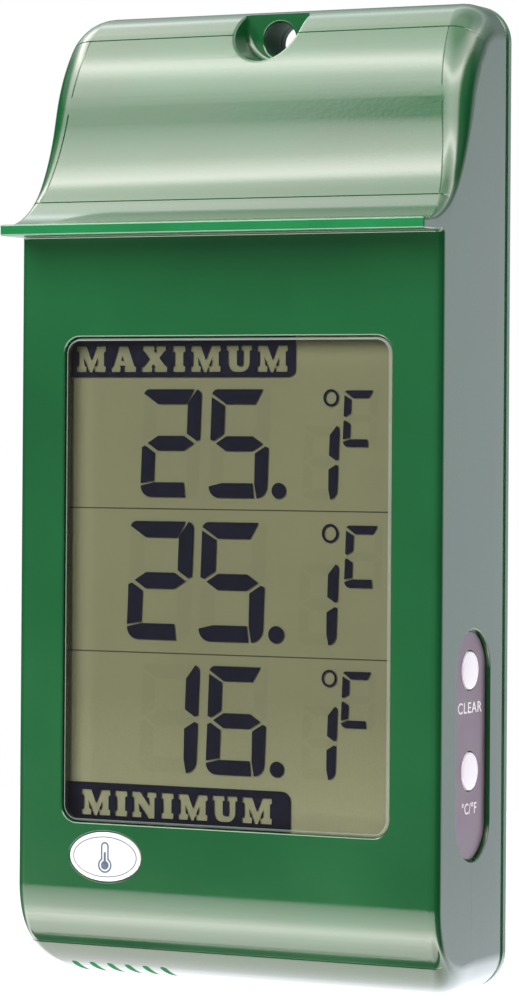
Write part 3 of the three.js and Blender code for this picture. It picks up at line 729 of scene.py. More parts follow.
def case_screw(name, at):
    """A pan-headed screw with a tapered cross recess."""
    x, z = at
    seat, head = -1.7, -0.2
    dome = [(seat, 1), (seat, 2.15), (seat + 0.15, 2.3), (head - 0.75, 2.3), (head - 0.4, 2.15),
            (head - 0.15, 1.75), (head, 1.1), (head, 0.2)]
    thread = []
    for k in range(16):
        start = -10.2 + 0.5 * k
        thread += [(start, 0.86), (start + 0.25, 1.12)]
    body = turned(name, "y", [(-11, 0.15), (-10.5, 0.6), *thread, (-2.1, 0.95), *dome], (x, z), 32)
    cross = [rotated_slot(x, z, head, across) for across in (True, False)]
    return combine(body, cross)


def rotated_slot(x, z, head, across):
    """One bar of a cross recess, narrowing as it goes in."""
    long, wide = 1.25, 0.32
    half = (long, wide) if across else (wide, long)
    floor = (0.35, 0.2) if across else (0.2, 0.35)
    ends = [((x, z), floor, head - 1.1), ((x, z), half, head + 0.01), ((x, z), half, head + 0.5)]
    return ringed("recess", [
        [(cx - hx, y, cz - hz), (cx + hx, y, cz - hz), (cx + hx, y, cz + hz), (cx - hx, y, cz + hz)]
        for (cx, cz), (hx, hz), y in ends])


def turned(name, axis, profile, centre, steps=48):
    """A turned solid from (place along the axis, radius) points."""
    return ringed(name, [[AXES[axis](u, v, along) for u, v in ellipse(r, r, centre, steps)]
                         for along, r in profile])


# ---------- window and display ----------

SEGMENT_Y = GLASS_LOW.y + 0.15
GROUND_Y = GLASS_LOW.y + 0.4


def window_lens():
    """The clear window: a raised pane with a bevelled edge on a flange held behind the face."""
    gap = 0.2
    bevel = 0.4
    pane = rounded_rect(WINDOW_W - 2 * gap, WINDOW_H - 2 * gap, WINDOW_R - gap, (0, WINDOW_Z), 12)
    lens = levelled("window_pane", "y", pane, [
        (-bevel, LENS_LOW.y), (-0.05, LENS_LOW.y + bevel - 0.05), (0, LENS_LOW.y + bevel),
        (0, LENS_HIGH.y - 0.3)])
    flange = pushed("flange", "y", rounded_rect(2 * LENS_HIGH.x, LENS_HIGH.z - LENS_LOW.z, WINDOW_R,
                                                (0, WINDOW_Z), 8), FACE_Y + WALL + 0.1, LENS_HIGH.y)
    return combine(lens, [flange], "UNION")


def lens_part(normal, centre):
    """Which part of the lens a face belongs to: 0 its front, 1 the bevel, painted white as a highlight, 2
    its sides, painted dark as shade, 3 its back.
    """
    at_front = centre.y / MM < LENS_LOW.y + 0.5
    if abs(normal.y) > 0.95:
        return 0 if at_front else 3
    return 1 if normal.y < -0.3 and at_front else 2


def flat_shapes(name, outlines, y, thickness=0.03, axis="y"):
    """Thin filled outlines side by side, where an outline inside another is a hole in it."""
    curve = bpy.data.curves.new(name, "CURVE")
    curve.dimensions = "2D"
    curve.fill_mode = "BOTH"
    curve.extrude = thickness / 2 * MM
    for outline in outlines:
        line = curve.splines.new("POLY")
        line.points.add(len(outline) - 1)
        line.use_cyclic_u = True
        for point, (u, v) in zip(line.points, outline):
            point.co = (u * MM, v * MM, 0, 1)
    drawn = link(name + " outline", curve)
    mesh = evaluated_mesh(drawn)
    bpy.data.objects.remove(drawn)
    stand_up(mesh, axis, y)
    return link(name, mesh)


def stand_up(mesh, axis, level):
    """Turns a mesh drawn flat so that it faces the front (y) or the right (x), at that level."""
    turned_to = {"y": Matrix(((1, 0, 0), (0, 0, -1), (0, 1, 0))),
                 "x": Matrix(((0, 0, 1), (1, 0, 0), (0, 1, 0)))}[axis]
    base = place(0, level, 0) if axis == "y" else place(level, 0, 0)
    mesh.transform(Matrix.Translation(base) @ turned_to.to_4x4())


# The segments that each sign lights, named as on any seven-segment display.
SIGNS = {"1": "bc", "2": "abged", "5": "afgcd", "6": "afgecd", "C": "afed"}
LEAN = math.tan(math.radians(2))


def segment(which, w, h, t, gap):
    """The outline of one segment of a sign w wide and h high, with strokes t wide."""
    m = h / 2
    g = gap / 2
    small, large = 0.43 * t, 0.8 * t
    near, low = 0.22 * t, 0.12 * t

    def side(x, sign):
        """Where an upright stroke ends beside the middle one, above (1) or below (-1) it."""
        inward = 1 if x == 0 else -1
        return [(x, m + sign * (near + g / 2)), (x + inward * 0.25 * t, m + sign * (low + g / 2)),
                (x + inward * t, m + sign * (0.6 * t + g / 2))]

    return {
        "a": [(t + g, h - t), (g * 0.6, h - small + g), *arc(small, h - small, small, 170, 90, 5),
              (w - 0.46 * t - g, h), (w - t - g, h - t)],
        "b": [(w - t, h - t + g * 0.6), (w - 0.46 * t + g, h - 0.03 * t),
              *arc(w - small, h - small, small, 80, 0, 5), *side(w, 1)],
        "c": [*reversed(side(w, -1)), *arc(w - large, large, large, 0, -85, 6), (w - 0.85 * t + g, 0),
              (w - t + g * 0.4, t - g * 0.4)],
        "d": [(t, t), (g * 0.4, 0.87 * t - g), *arc(large, large, large, 185, 270, 6),
              (w - 0.85 * t - g, 0), (w - t - g, t)],
        "e": [(t, t + g), (0, 0.87 * t + g * 0.5), *side(0, -1)],
        "f": [*side(0, 1)[::-1], (0, h - small - g), (t, h - t - g)],
        "g": [(0.42 * t, m), (1.2 * t, m + t / 2), (w - 1.2 * t, m + t / 2), (w - 0.42 * t, m),
              (w - 1.2 * t, m - t / 2), (1.2 * t, m - t / 2)],
    }[which]


def sign(lit, left, low, w, h, t, gap=0.5):
    """The outlines of the named segments of one sign, leaning as the display's do."""
    return [[(left + u + v * LEAN, low + v) for u, v in segment(which, w, h, t, gap)] for which in lit]


# Each row of the display: its reading, where its figures start, and its lower edge and size.
ROWS = {
    "maximum": {"reading": "251", "tens": -16.85, "units": -4.45, "low": 78.95, "size": 1},
    "current": {"reading": "251", "tens": -19.2, "units": -6.1, "low": 55.85, "size": 1.1},
    "minimum": {"reading": "161", "tens": -16.85, "units": -4.6, "low": 34.5, "size": 1},
}


def row_signs(row):
    """(segments, left, low, width, height, stroke) of each figure in a row, the unit sign last."""
    k, low = row["size"], row["low"]
    small_w, unit_w = 6.2 * k, 5.75 * k
    return [
        (row["tens"], low, 10.5 * k, 17.45 * k, 2.4 * k),
        (row["units"], low, 10.5 * k, 17.45 * k, 2.4 * k),
        (18.45 - small_w, low, small_w, 11.7 * k, 1.65 * k),
        (19.4 + 4 * (k - 1), low + 8.35 * k, unit_w, 8.95 * k, 1.22 * k),
    ]


def row_shapes(row):
    k, low = row["size"], row["low"]
    shapes = []
    for figure, where in zip(row["reading"] + "C", row_signs(row)):
        shapes += sign(SIGNS[figure], *where)
    shapes.append(ellipse(1.27 * k, 1.27 * k, (8.2 - 3 * (k - 1), low + 1.27 * k), 32))
    ring = (17.33, low + 16.1 * k)
    return shapes + [ellipse(1.33 * k, 1.38 * k, ring, 40), ellipse(0.95 * k, 1.0 * k, ring, 40)]


def row_ghosts(row):
    """The segments that the reading leaves unlit, which still show faintly."""
    shapes = []
    for figure, where in zip(row["reading"] + "C", row_signs(row)):
        shapes += sign([which for which in "abcdefg" if which not in SIGNS[figure]], *where)
    return shapes


# Slab-serif capitals in a box one unit high. A second outline in a letter is the hole in it.
LETTERS = {
    "I": (0.54, [[(0, 0), (0.54, 0), (0.54, 0.17), (0.44, 0.22), (0.44, 0.78), (0.54, 0.83), (0.54, 1),
                  (0, 1), (0, 0.83), (0.1, 0.78), (0.1, 0.22), (0, 0.17)]]),
    "M": (1.32, [[(0, 0), (0.42, 0), (0.42, 0.17), (0.32, 0.22), (0.32, 0.6), (0.6, -0.03), (0.68, -0.03),
                  (0.95, 0.6), (0.95, 0.22), (0.83, 0.17), (0.83, 0), (1.32, 0), (1.32, 0.17),
                  (1.23, 0.22), (1.23, 0.78), (1.32, 0.83), (1.32, 1), (0.92, 1), (0.67, 0.42),
                  (0.42, 1), (0, 1), (0, 0.83), (0.11, 0.78), (0.11, 0.22), (0, 0.17)]]),
    "A": (1.12, [[(0, 0), (0.4, 0), (0.4, 0.15), (0.36, 0.2), (0.38, 0.26), (0.63, 0.26), (0.66, 0.2),
                  (0.6, 0.15), (0.6, 0), (1.12, 0), (1.12, 0.15), (1.03, 0.2), (0.74, 1), (0.36, 1),
                  (0.1, 0.2), (0, 0.15)],
                 [(0.44, 0.42), (0.58, 0.42), (0.5, 0.66)]]),
    "X": (1.15, [[(0, 0), (0.46, 0), (0.46, 0.14), (0.41, 0.17), (0.52, 0.33), (0.64, 0.17),
                  (0.58, 0.14), (0.58, 0), (1.15, 0), (1.15, 0.16), (1.06, 0.2), (0.78, 0.53),
                  (1.0, 0.82), (1.08, 0.86), (1.08, 1), (0.66, 1), (0.66, 0.88), (0.7, 0.84),
                  (0.62, 0.71), (0.52, 0.84), (0.56, 0.88), (0.56, 1), (0.04, 1), (0.04, 0.86),
                  (0.14, 0.82), (0.38, 0.5), (0.12, 0.18), (0, 0.15)]]),
    "U": (1.12, [[(0.1, 0.83), (0.1, 0.34), *arc(0.44, 0.34, 0.34, 180, 270, 5),
                  *arc(0.68, 0.34, 0.34, 270, 360, 5), (1.02, 0.83), (1.12, 0.86), (1.12, 1), (0.68, 1),
                  (0.68, 0.86), (0.78, 0.83), (0.78, 0.36), *arc(0.66, 0.3, 0.12, 0, -90, 3),
                  *arc(0.56, 0.3, 0.12, 270, 180, 3), (0.44, 0.83), (0.53, 0.86), (0.53, 1), (0, 1),
                  (0, 0.86)]]),
    "N": (1.12, [[(0, 0), (0.42, 0), (0.42, 0.16), (0.32, 0.2), (0.32, 0.58), (0.8, -0.04), (1.02, -0.04),
                  (1.02, 0.8), (1.12, 0.84), (1.12, 1), (0.7, 1), (0.7, 0.84), (0.8, 0.8), (0.8, 0.42),
                  (0.36, 1), (0, 1), (0, 0.84), (0.1, 0.8), (0.1, 0.2), (0, 0.16)]]),
}


def lettering(word, left, low, height, gap):
    shapes = []
    for letter in word:
        width, outlines = LETTERS[letter]
        for outline, weight in zip(outlines, (0.03, -0.02)):
            shapes.append([(left + (u + nu * weight) * height, low + (v + nv * weight) * height)
                           for (u, v), (nu, nv) in zip(outline, outline_normals(outline))])
        left += (width + gap) * height
    return shapes


# Each heading's dark band (low, high, right, corner radius, whether its lower corner is the round
# one), and its letters (left, low, height, gap as a share of the height).
HEADINGS = {
    "MAXIMUM": ((98.35, 105, 11.04, 1.3, True), (-28.7, 99.31, 3.97, 0.29)),
    "MINIMUM": ((26, 32.3, 10.7, 1.6, False), (-27.2, 27.1, 3.9, 0.26)),
}
DISPLAY_EDGE = 0.2
DIVIDERS_Z = (76.95, 53.61)
DIVIDER_H = 0.2


def band(low, high, right, r, lower_corner):
    """A dark band from beyond the window's left edge to a rounded corner on its right."""
    left = GLASS_LOW.x + DISPLAY_EDGE
    if lower_corner:
        return [(left, low), *arc(right - r, low + r, r, 270, 360, 8), (right, high), (left, high)]
    return [(left, low), (right, low), *arc(right - r, high - r, r, 0, 90, 8), (left, high)]


def lcd_ground():
    """The rear glass with its pale reflecting film, which the figures stand in front of."""
    outline = rounded_rect(GLASS_HIGH.x - GLASS_LOW.x, GLASS_HIGH.z - GLASS_LOW.z, 0.3, (0, WINDOW_Z), 3)
    return levelled("lcd_rear_glass", "y", outline, [
        (-0.1, GROUND_Y), (0, GROUND_Y + 0.1), (0, GLASS_HIGH.y - 0.1), (-0.1, GLASS_HIGH.y)])


# ---------- label, buttons and badge ----------


def side_label():
    thick = LABEL_HIGH.x - LABEL_LOW.x
    sheet = levelled("side_label_film", "x", label_outline(0.3), [
        (0, LABEL_LOW.x), (0, LABEL_LOW.x + thick * 0.6), (-0.1, LABEL_HIGH.x)])
    return combine(sheet, [rod("button hole", "x", BUTTON_HOLE_R, LABEL_LOW.x - 1, HALF_W, (p.y, p.z), 48)
                           for p in BUTTONS.values()])


def push_button(name):
    """A round cap with a softly crowned end, held behind the wall by its flange."""
    low, high = span(name)
    middle = BUTTONS[name]
    r = 3
    end, flange = high.x, BUTTON_PAD_X - 0.3
    dome = [(end - 0.12 - 0.28 * (1 - math.sin(t)), r - 0.28 * (1 - math.cos(t)))
            for t in quarter(5)]
    crown_end = [(end - 0.07, 2.1), (end - 0.03, 1.3), (end, 0.3)]
    flange_r = (high.z - low.z) / 2
    return turned(name + "_cap", "x", [(low.x, 0.4), (low.x, flange_r - 0.1), (low.x + 0.1, flange_r),
                                       (flange - 0.1, flange_r), (flange, flange_r - 0.1), (flange, r),
                                       *dome, *crown_end], (middle.y, middle.z), 64)


def printed_text(name, words, size, middle, level, stretch):
    """Words in Blender's own plain typeface, thin and flat, facing the right."""
    curve = bpy.data.curves.new(name, "FONT")
    curve.body = words
    curve.size = size * MM
    curve.align_x = "CENTER"
    curve.align_y = "CENTER"
    curve.extrude = 0.01 * MM
    curve.offset = 0.02 * MM
    curve.space_character = 1.12
    drawn = link(name + " text", curve)
    mesh = evaluated_mesh(drawn)
    bpy.data.objects.remove(drawn)
    mesh.transform(Matrix.Diagonal((stretch, 1, 1, 1)))
    mesh.transform(Matrix.Translation((middle[0] * MM, middle[1] * MM, 0)))
    stand_up(mesh, "x", level)
    return link(name, mesh)


def badge():
    """A plain oval plate with a slightly crowned face."""
    outline = ellipse(BADGE_HALF.x, BADGE_HALF.z, (BADGE_MIDDLE.x, BADGE_MIDDLE.z), 96)
    return levelled("badge_plate", "y", outline, [
        (-1.6, BADGE_LOW.y), (-0.5, BADGE_LOW.y + 0.03), (-0.14, BADGE_LOW.y + 0.08),
        (-0.04, BADGE_LOW.y + 0.14), (0, BADGE_LOW.y + 0.24), (0, BADGE_HIGH.y)])


def badge_picture():
    """A small thermometer drawn on the badge: a tube and bulb with the column inside."""
    middle, half = BADGE_MIDDLE, BADGE_HALF

    def tube(bulb_r, half_w, top):
        join = math.degrees(math.asin(half_w / bulb_r))
        low = (middle.x, middle.z - 1.35)
        return [*arc(*low, bulb_r, 90 + join, 450 - join, 24),
                *arc(middle.x, middle.z + top, half_w, 0, 180, 10)]

    ring = [ellipse(half.x - inset, half.z - inset, (middle.x, middle.z), 96) for inset in (0.72, 0.84)]
    picture = [tube(1.25, 0.72, 1.7), tube(0.98, 0.45, 1.7), tube(0.72, 0.2, 0.6)]
    return flat_shapes("badge_picture", [*ring, *picture], BADGE_LOW.y - 0.005, 0.01)


# ---------- cell and spring ----------


def aaa_cell():
    """A standard cell: crimped wrap, insulating ring and pressed terminal."""
    r = (CELL_HIGH.z - CELL_LOW.z) / 2
    start, end = CELL_LOW.x, CELL_HIGH.x
    shoulder = end - 0.8
    return turned("aaa_cell_body", "x", [
        (start + 0.25, 0.3), (start + 0.25, 3.4), (start, 3.7), (start, 4.5), (start + 0.25, r - 0.15),
        (start + 0.5, r), (start + 1.2, r), (start + 1.3, r - 0.06), (shoulder - 1.1, r - 0.06),
        (shoulder - 1.0, r), (shoulder - 0.35, r), (shoulder - 0.1, r - 0.2), (shoulder - 0.02, r - 0.6),
        (shoulder, r - 0.9), (shoulder - 0.2, r - 1.2), (shoulder - 0.2, 2.4), (shoulder, 2.2),
        (shoulder + 0.1, 1.9), (end - 0.12, 1.9), (end, 1.75), (end, 0.3)], (CELL_Y, CELL_Z), 64)


def cell_part(normal, centre):
    """0 the wrap, 1 bare metal at both ends."""
    x = centre.x / MM
    return 1 if x < CELL_LOW.x + 0.45 or x > CELL_HIGH.x - 1.05 else 0


def negative_spring():
    """A conical coil, wide against its plate and narrow where it meets the cell."""
    low, high = span("negative_spring")
    wire_r, turns, per_turn = 0.3, 3.25, 28
    wide = (high.z - low.z) / 2 - wire_r
    narrow = 2.2
    count = int(turns * per_turn)
    points = []
    for k in range(count + 1):
        part = k / count
        r = wide + (narrow - wide) * part
        angle = 2 * math.pi * turns * part
        x = low.x + wire_r + (high.x - low.x - 2 * wire_r) * part
        points.append(place(x, CELL_Y + r * math.cos(angle), CELL_Z + r * math.sin(angle)))
    curve = bpy.data.curves.new("coil", "CURVE")
    curve.dimensions = "3D"
    curve.bevel_depth = wire_r * MM
    curve.bevel_resolution = 4
    curve.use_fill_caps = True
    line = curve.splines.new("POLY")
    line.points.add(count)
    for point, at in zip(line.points, points):
        point.co = (*at, 1)
    return link("negative_spring_coil", curve)


# ---------- camera, lights and floor ----------


# From a perspective solve on the photo's outlines: the camera's place in metres, and its turn
# to the side, rise and roll in degrees.
CAMERA_PLACE = (0.293895, -0.604302, -0.06548)
CAMERA_TURN = (27, 0.17, -0.4)
CAMERA_LENS, CAMERA_SHIFT = 145.96, (0.0352, -0.0731)


def add_camera():
    data = bpy.data.cameras.new("camera")
    camera = bpy.data.objects.new("camera", data)
    bpy.context.scene.collection.objects.link(camera)
    azimuth, rise, roll = (math.radians(angle) for angle in CAMERA_TURN)
    ahead = Vector((-math.sin(azimuth), math.cos(azimuth), 0))
    forward = ahead * math.cos(rise) + Vector((0, 0, math.sin(rise)))
    right = forward.cross(Vector((0, 0, 1))).normalized()
    up = right.cross(forward)
    turned_right = right * math.cos(roll) - up * math.sin(roll)
    turned_up = right * math.sin(roll) + up * math.cos(roll)
    axes = Matrix((turned_right, turned_up, -forward)).transposed().to_4x4()
    camera.matrix_world = Matrix.Translation(CAMERA_PLACE) @ axes
    data.lens = CAMERA_LENS
    data.shift_x, data.shift_y = CAMERA_SHIFT
    bpy.context.scene.camera = camera


def node(tree, kind, inputs=None, **settings):
    """Adds a node. An input given as a socket is linked, and any other is set on it."""
    made = tree.nodes.new(kind)
    for key, value in settings.items():
        setattr(made, key, value)
    for key, value in (inputs or {}).items():
        if isinstance(value, bpy.types.NodeSocket):
            tree.links.new(value, made.inputs[key])
        else:
            made.inputs[key].default_value = value
    return made


def ramp(tree, factor, stops):
    """A blend between stops of (place, colour). A colour of one number is a grey."""
    made = node(tree, "ShaderNodeValToRGB", {"Fac": factor})
    made.color_ramp.interpolation = "LINEAR"
    elements = made.color_ramp.elements
    while len(elements) < len(stops):
        elements.new(0.5)
    for element, (at, colour) in zip(elements, stops):
        element.position = at
        element.color = (*colour, 1) if len(colour) == 3 else (colour[0],) * 3 + (1,)
    return made.outputs["Color"]


def maths(tree, operation, *values):
    made = node(tree, "ShaderNodeMath", operation=operation)
    for socket, value in zip(made.inputs, values):
        if isinstance(value, bpy.types.NodeSocket):
            tree.links.new(value, socket)
        else:
            socket.default_value = value
    return made.outputs[0]


def mapped(tree, value, from_range, to_range):
    return node(tree, "ShaderNodeMapRange", {
        "Value": value, "From Min": from_range[0], "From Max": from_range[1],
        "To Min": to_range[0], "To Max": to_range[1]}).outputs["Result"]


STUDIO_PEAK = 16
AMBIENT = 0.25
# What glossy surfaces see ahead of the object: (sine of the angle above or below the horizon,
# brightness).
PANELS_ABOVE = [(0.3, 0.1), (0.37, 5.5), (0.62, 9), (0.73, 16), (0.8, 8), (1, 2.5)]
PANELS_BELOW = [(0.15, 0.1), (0.16, 3.5), (0.5, 7), (0.64, 13), (0.75, 8), (1, 3)]


def panels(tree, height, brightness):
    return maths(tree, "MULTIPLY", STUDIO_PEAK, ramp(
        tree, height, [(at, (value / STUDIO_PEAK,)) for at, value in brightness]))


def studio():
    """White to the camera, an even glow to matt surfaces, and soft panels to glossy ones."""
    world = bpy.data.worlds.new("studio")
    bpy.context.scene.world = world
    world.use_nodes = True
    tree = world.node_tree
    tree.nodes.clear()

    def times(*values):
        return maths(tree, "MULTIPLY", *values)

    def plus(*values):
        return maths(tree, "ADD", *values)

    def minus(*values):
        return maths(tree, "SUBTRACT", *values)

    direction = node(tree, "ShaderNodeTexCoord").outputs["Generated"]
    x, y, z = node(tree, "ShaderNodeSeparateXYZ", {"Vector": direction}).outputs
    streak = times(mapped(tree, x, (-0.45, -0.4), (0, 0.085)), mapped(tree, z, (0.42, 0.6), (1, 0)))
    lean = plus(streak, mapped(tree, x, (-0.38, 0.2), (0, -0.1)))
    upper = times(panels(tree, minus(z, lean), PANELS_ABOVE), mapped(tree, y, (0.12, 0.6), (1, 0.45)))
    depth = times(z, -1)
    lower_lean = mapped(tree, x, (-0.55, -0.35), (-0.03, 0.03))
    lower = times(panels(tree, minus(depth, lower_lean), PANELS_BELOW),
                  mapped(tree, y, (-0.1, 0.6), (1, 0.3)))
    ahead = plus(upper, lower)
    gap = times(mapped(tree, y, (-0.26, -0.2), (0, 1)), mapped(tree, y, (-0.05, 0), (1, 0)))
    low_gap = times(gap, maths(tree, "GREATER_THAN", depth, 0.75))
    ahead = times(ahead, minus(1, times(low_gap, 0.95)))
    behind = mapped(tree, y, (0.1, 0.9), (0, 1))
    wall_glow = plus(times(mapped(tree, depth, (-0.25, -0.05), (0.8, 1.75)),
                           mapped(tree, x, (-0.1, 0.3), (0.45, 1))),
                     mapped(tree, depth, (0.1, 0.3), (0, 2.3)))
    seen = plus(times(ahead, minus(1, behind)), times(wall_glow, behind))
    seen = times(seen, mapped(tree, x, (-0.85, -0.7), (0.12, 1)))
    seen = times(seen, mapped(tree, x, (0.7, 0.83), (1, 0.06)))
    path = node(tree, "ShaderNodeLightPath").outputs
    glossy = times(path["Is Glossy Ray"], minus(seen, AMBIENT))
    camera = times(path["Is Camera Ray"], 1 - AMBIENT)
    strength = plus(plus(glossy, camera), AMBIENT)
    tint = times(mapped(tree, behind, (0, 1), (0.5, 1)), path["Is Glossy Ray"])
    background = node(tree, "ShaderNodeBackground", {
        "Color": ramp(tree, tint, [(0, (1, 1, 1)), (0.5, (1.07, 0.96, 0.95)), (1, (0.97, 1, 1.08))]),
        "Strength": strength})
    node(tree, "ShaderNodeOutputWorld", {"Surface": background.outputs[0]})


LIT_PLACE = (0, 0, -0.07)


def add_light(name, power, size, location, target):
    data = bpy.data.lights.new(name, "AREA")
    data.energy = power
    data.size = size
    light = link(name, data)
    light.location = location
    light.visible_glossy = False
    light.rotation_mode = "QUATERNION"
    light.rotation_quaternion = (Vector(target) - light.location).to_track_quat("-Z", "Y")


def add_floor():
    """A pale floor a little way under the object, which hangs above it."""
    half = 1.5
    top = BASE_Z - 0.12
    mesh = bpy.data.meshes.new("floor")
    mesh.from_pydata([(-half, -half, top), (half, -half, top), (half, half, top), (-half, half, top)],
                     [], [(0, 1, 2, 3)])
    floor = link("floor", mesh)
    floor.visible_glossy = False
    floor.visible_diffuse = False
    floor.visible_shadow = False
    material, shader = surface("pale_floor", (0.86, 0.86, 0.85), (0.9, 0.9, 0.9), (0.7, 0.8), 30)
    shader.inputs["Emission Color"].default_value = (1, 1, 1, 1)
    shader.inputs["Emission Strength"].default_value = 0.5
    mesh.materials.append(material)
    floor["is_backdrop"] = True


# ---------- materials ----------


def surface(name, dark, light, roughness, scale, bump=0, bump_scale=2000, **sockets):
    """A material whose colour and roughness drift with fine noise over a slightly uneven surface."""
    material = bpy.data.materials.new(name)
    material.use_nodes = True
    tree = material.node_tree
    shader = tree.nodes["Principled BSDF"]
    where = node(tree, "ShaderNodeTexCoord").outputs["Object"]
    drift = node(tree, "ShaderNodeTexNoise", {"Vector": where, "Scale": scale, "Detail": 4}).outputs[0]
    tree.links.new(ramp(tree, drift, [(0.35, dark), (0.65, light)]), shader.inputs["Base Color"])
    tree.links.new(mapped(tree, drift, (0.35, 0.65), roughness), shader.inputs["Roughness"])
    if bump:
        grain = node(tree, "ShaderNodeTexNoise", {"Vector": where, "Scale": bump_scale, "Detail": 3})
        relief = node(tree, "ShaderNodeBump", {
            "Strength": bump, "Distance": 0.0001, "Height": grain.outputs[0]})
        tree.links.new(relief.outputs[0], shader.inputs["Normal"])
    for key, value in sockets.items():
        shader.inputs[key].default_value = value
    return material, shader


def shades(colour, spread=0.12):
    """A colour a little darker and a little lighter."""
    return [tuple(c * k for c in colour) for k in (1 - spread, 1 + spread)]


def plain_surface(name, colour, roughness, scale, spread=0.12, **more):
    dark, light = shades(colour, spread)
    return surface(name, dark, light, roughness, scale, **more)[0]


def clear_sheet(name, tint, glossy):
    """Clear plastic: what is behind it shows through, and a glossy face adds its reflections."""
    material = bpy.data.materials.new(name)
    material.use_nodes = True
    tree = material.node_tree
    tree.nodes.clear()
    where = node(tree, "ShaderNodeTexCoord").outputs["Object"]
    drift = node(tree, "ShaderNodeTexNoise", {"Vector": where, "Scale": 60, "Detail": 2}).outputs[0]
    clearer = tuple(min(1, c * 1.01) for c in tint)
    seen = node(tree, "ShaderNodeBsdfTransparent", {
        "Color": ramp(tree, drift, [(0.3, tint), (0.7, clearer)])}).outputs[0]
    if glossy:
        gloss = node(tree, "ShaderNodeBsdfGlossy", {
            "Color": (1, 1, 1, 1), "Roughness": mapped(tree, drift, (0.3, 0.7), (0.02, 0.03))})
        edge = node(tree, "ShaderNodeFresnel", {"IOR": 1.49})
        seen = node(tree, "ShaderNodeMixShader", {
            0: edge.outputs[0], 1: seen, 2: gloss.outputs[0]}).outputs[0]
    node(tree, "ShaderNodeOutputMaterial", {"Surface": seen})
    return material


def display_ground(name, tone):
    """The display's backing: grey-green, with painted shading that makes it a little lighter low down,
    and a matt grain.
    """
    material, shader = surface(name, LCD_HIGH, LCD_LOW, (0.5, 0.6), 900,
                               **{"Specular IOR Level": 0.05})
    tree = material.node_tree
    where = node(tree, "ShaderNodeTexCoord").outputs["Object"]
    z = node(tree, "ShaderNodeSeparateXYZ", {"Vector": where}).outputs[2]
    grain = node(tree, "ShaderNodeTexNoise", {"Vector": where, "Scale": 3000}).outputs[0]
    # Painted shading: the colour runs lighter towards the bottom of the display.
    height = mapped(tree, z, (GLASS_LOW.z * MM + BASE_Z, GLASS_HIGH.z * MM + BASE_Z), (0, 0.9))
    level = maths(tree, "ADD", height, maths(tree, "MULTIPLY", grain, 0.12))
    stops = [(at, tuple(c * tone for c in colour))
             for at, colour in ((0, LCD_LOW), (0.3, LCD_MID), (1, LCD_HIGH))]
    tree.links.new(ramp(tree, level, stops), shader.inputs["Base Color"])
    return material


def striped(name, first, second, scale, direction, roughness):
    material, shader = surface(name, first, second, roughness, 300)
    tree = material.node_tree
    where = node(tree, "ShaderNodeTexCoord").outputs["Object"]
    wave = node(tree, "ShaderNodeTexWave", {"Vector": where, "Scale": scale, "Distortion": 0},
                bands_direction=direction)
    tree.links.new(ramp(tree, wave.outputs["Fac"], [(0.45, first), (0.55, second)]),
                   shader.inputs["Base Color"])
    return material


def board_material():
    """Green solder mask with faint tracks under it, over a finely uneven surface."""
    material, shader = surface("solder_mask", (0.01, 0.07, 0.03), (0.02, 0.11, 0.05), (0.25, 0.4), 120,
                               bump=0.2, bump_scale=900)
    tree = material.node_tree
    where = node(tree, "ShaderNodeTexCoord").outputs["Object"]
    stood = node(tree, "ShaderNodeMapping", {"Vector": where, "Rotation": (math.pi / 2, 0, 0)})
    tracks = node(tree, "ShaderNodeTexBrick", {
        "Vector": stood.outputs[0], "Scale": 160, "Mortar Size": 0.03, "Mortar Smooth": 0.1,
        "Color1": (0.012, 0.08, 0.035, 1), "Color2": (0.016, 0.095, 0.042, 1),
        "Mortar": (0.05, 0.2, 0.09, 1)}, squash=0.6)
    tree.links.new(tracks.outputs["Color"], shader.inputs["Base Color"])
    return material


GREEN = (0.0095, 0.101, 0.031)
# A lighter green that paints light on the lip's front edge and on the vents' walls.
PAINTED_LIT_GREEN = (0.012, 0.19, 0.058)
# The display's backing colours; the lighter low one paints its shading.
LCD_LOW, LCD_MID, LCD_HIGH = (0.59, 0.592, 0.37), (0.388, 0.39, 0.236), (0.368, 0.37, 0.22)
INK = (0.012, 0.0135, 0.03)


def case_part(normal, centre):
    """0 the case's glossy faces, 1 the wall of the fixing hole, painted darker as shade, 2 the lip's
    edge, painted lighter as if lit, 3 the vents' walls, painted lighter with a glow as if lit.
    """
    x, y, z = centre / MM
    # The fixing hole's wall, which takes the painted shade.
    if math.hypot(x, z - HOLE_Z) < HOLE_R + 0.05 and y > POCKET_FLOOR_Y + 0.5:
        return 1
    # The vents' walls, which take the painted glow.
    if 0.2 < z < 5 and abs(normal.x) > 0.8 and -33 < x < -14:
        return 3
    # Faces at the lip's front take the painted lit green.
    return 2 if y < LIP_Y + 0.2 else 0


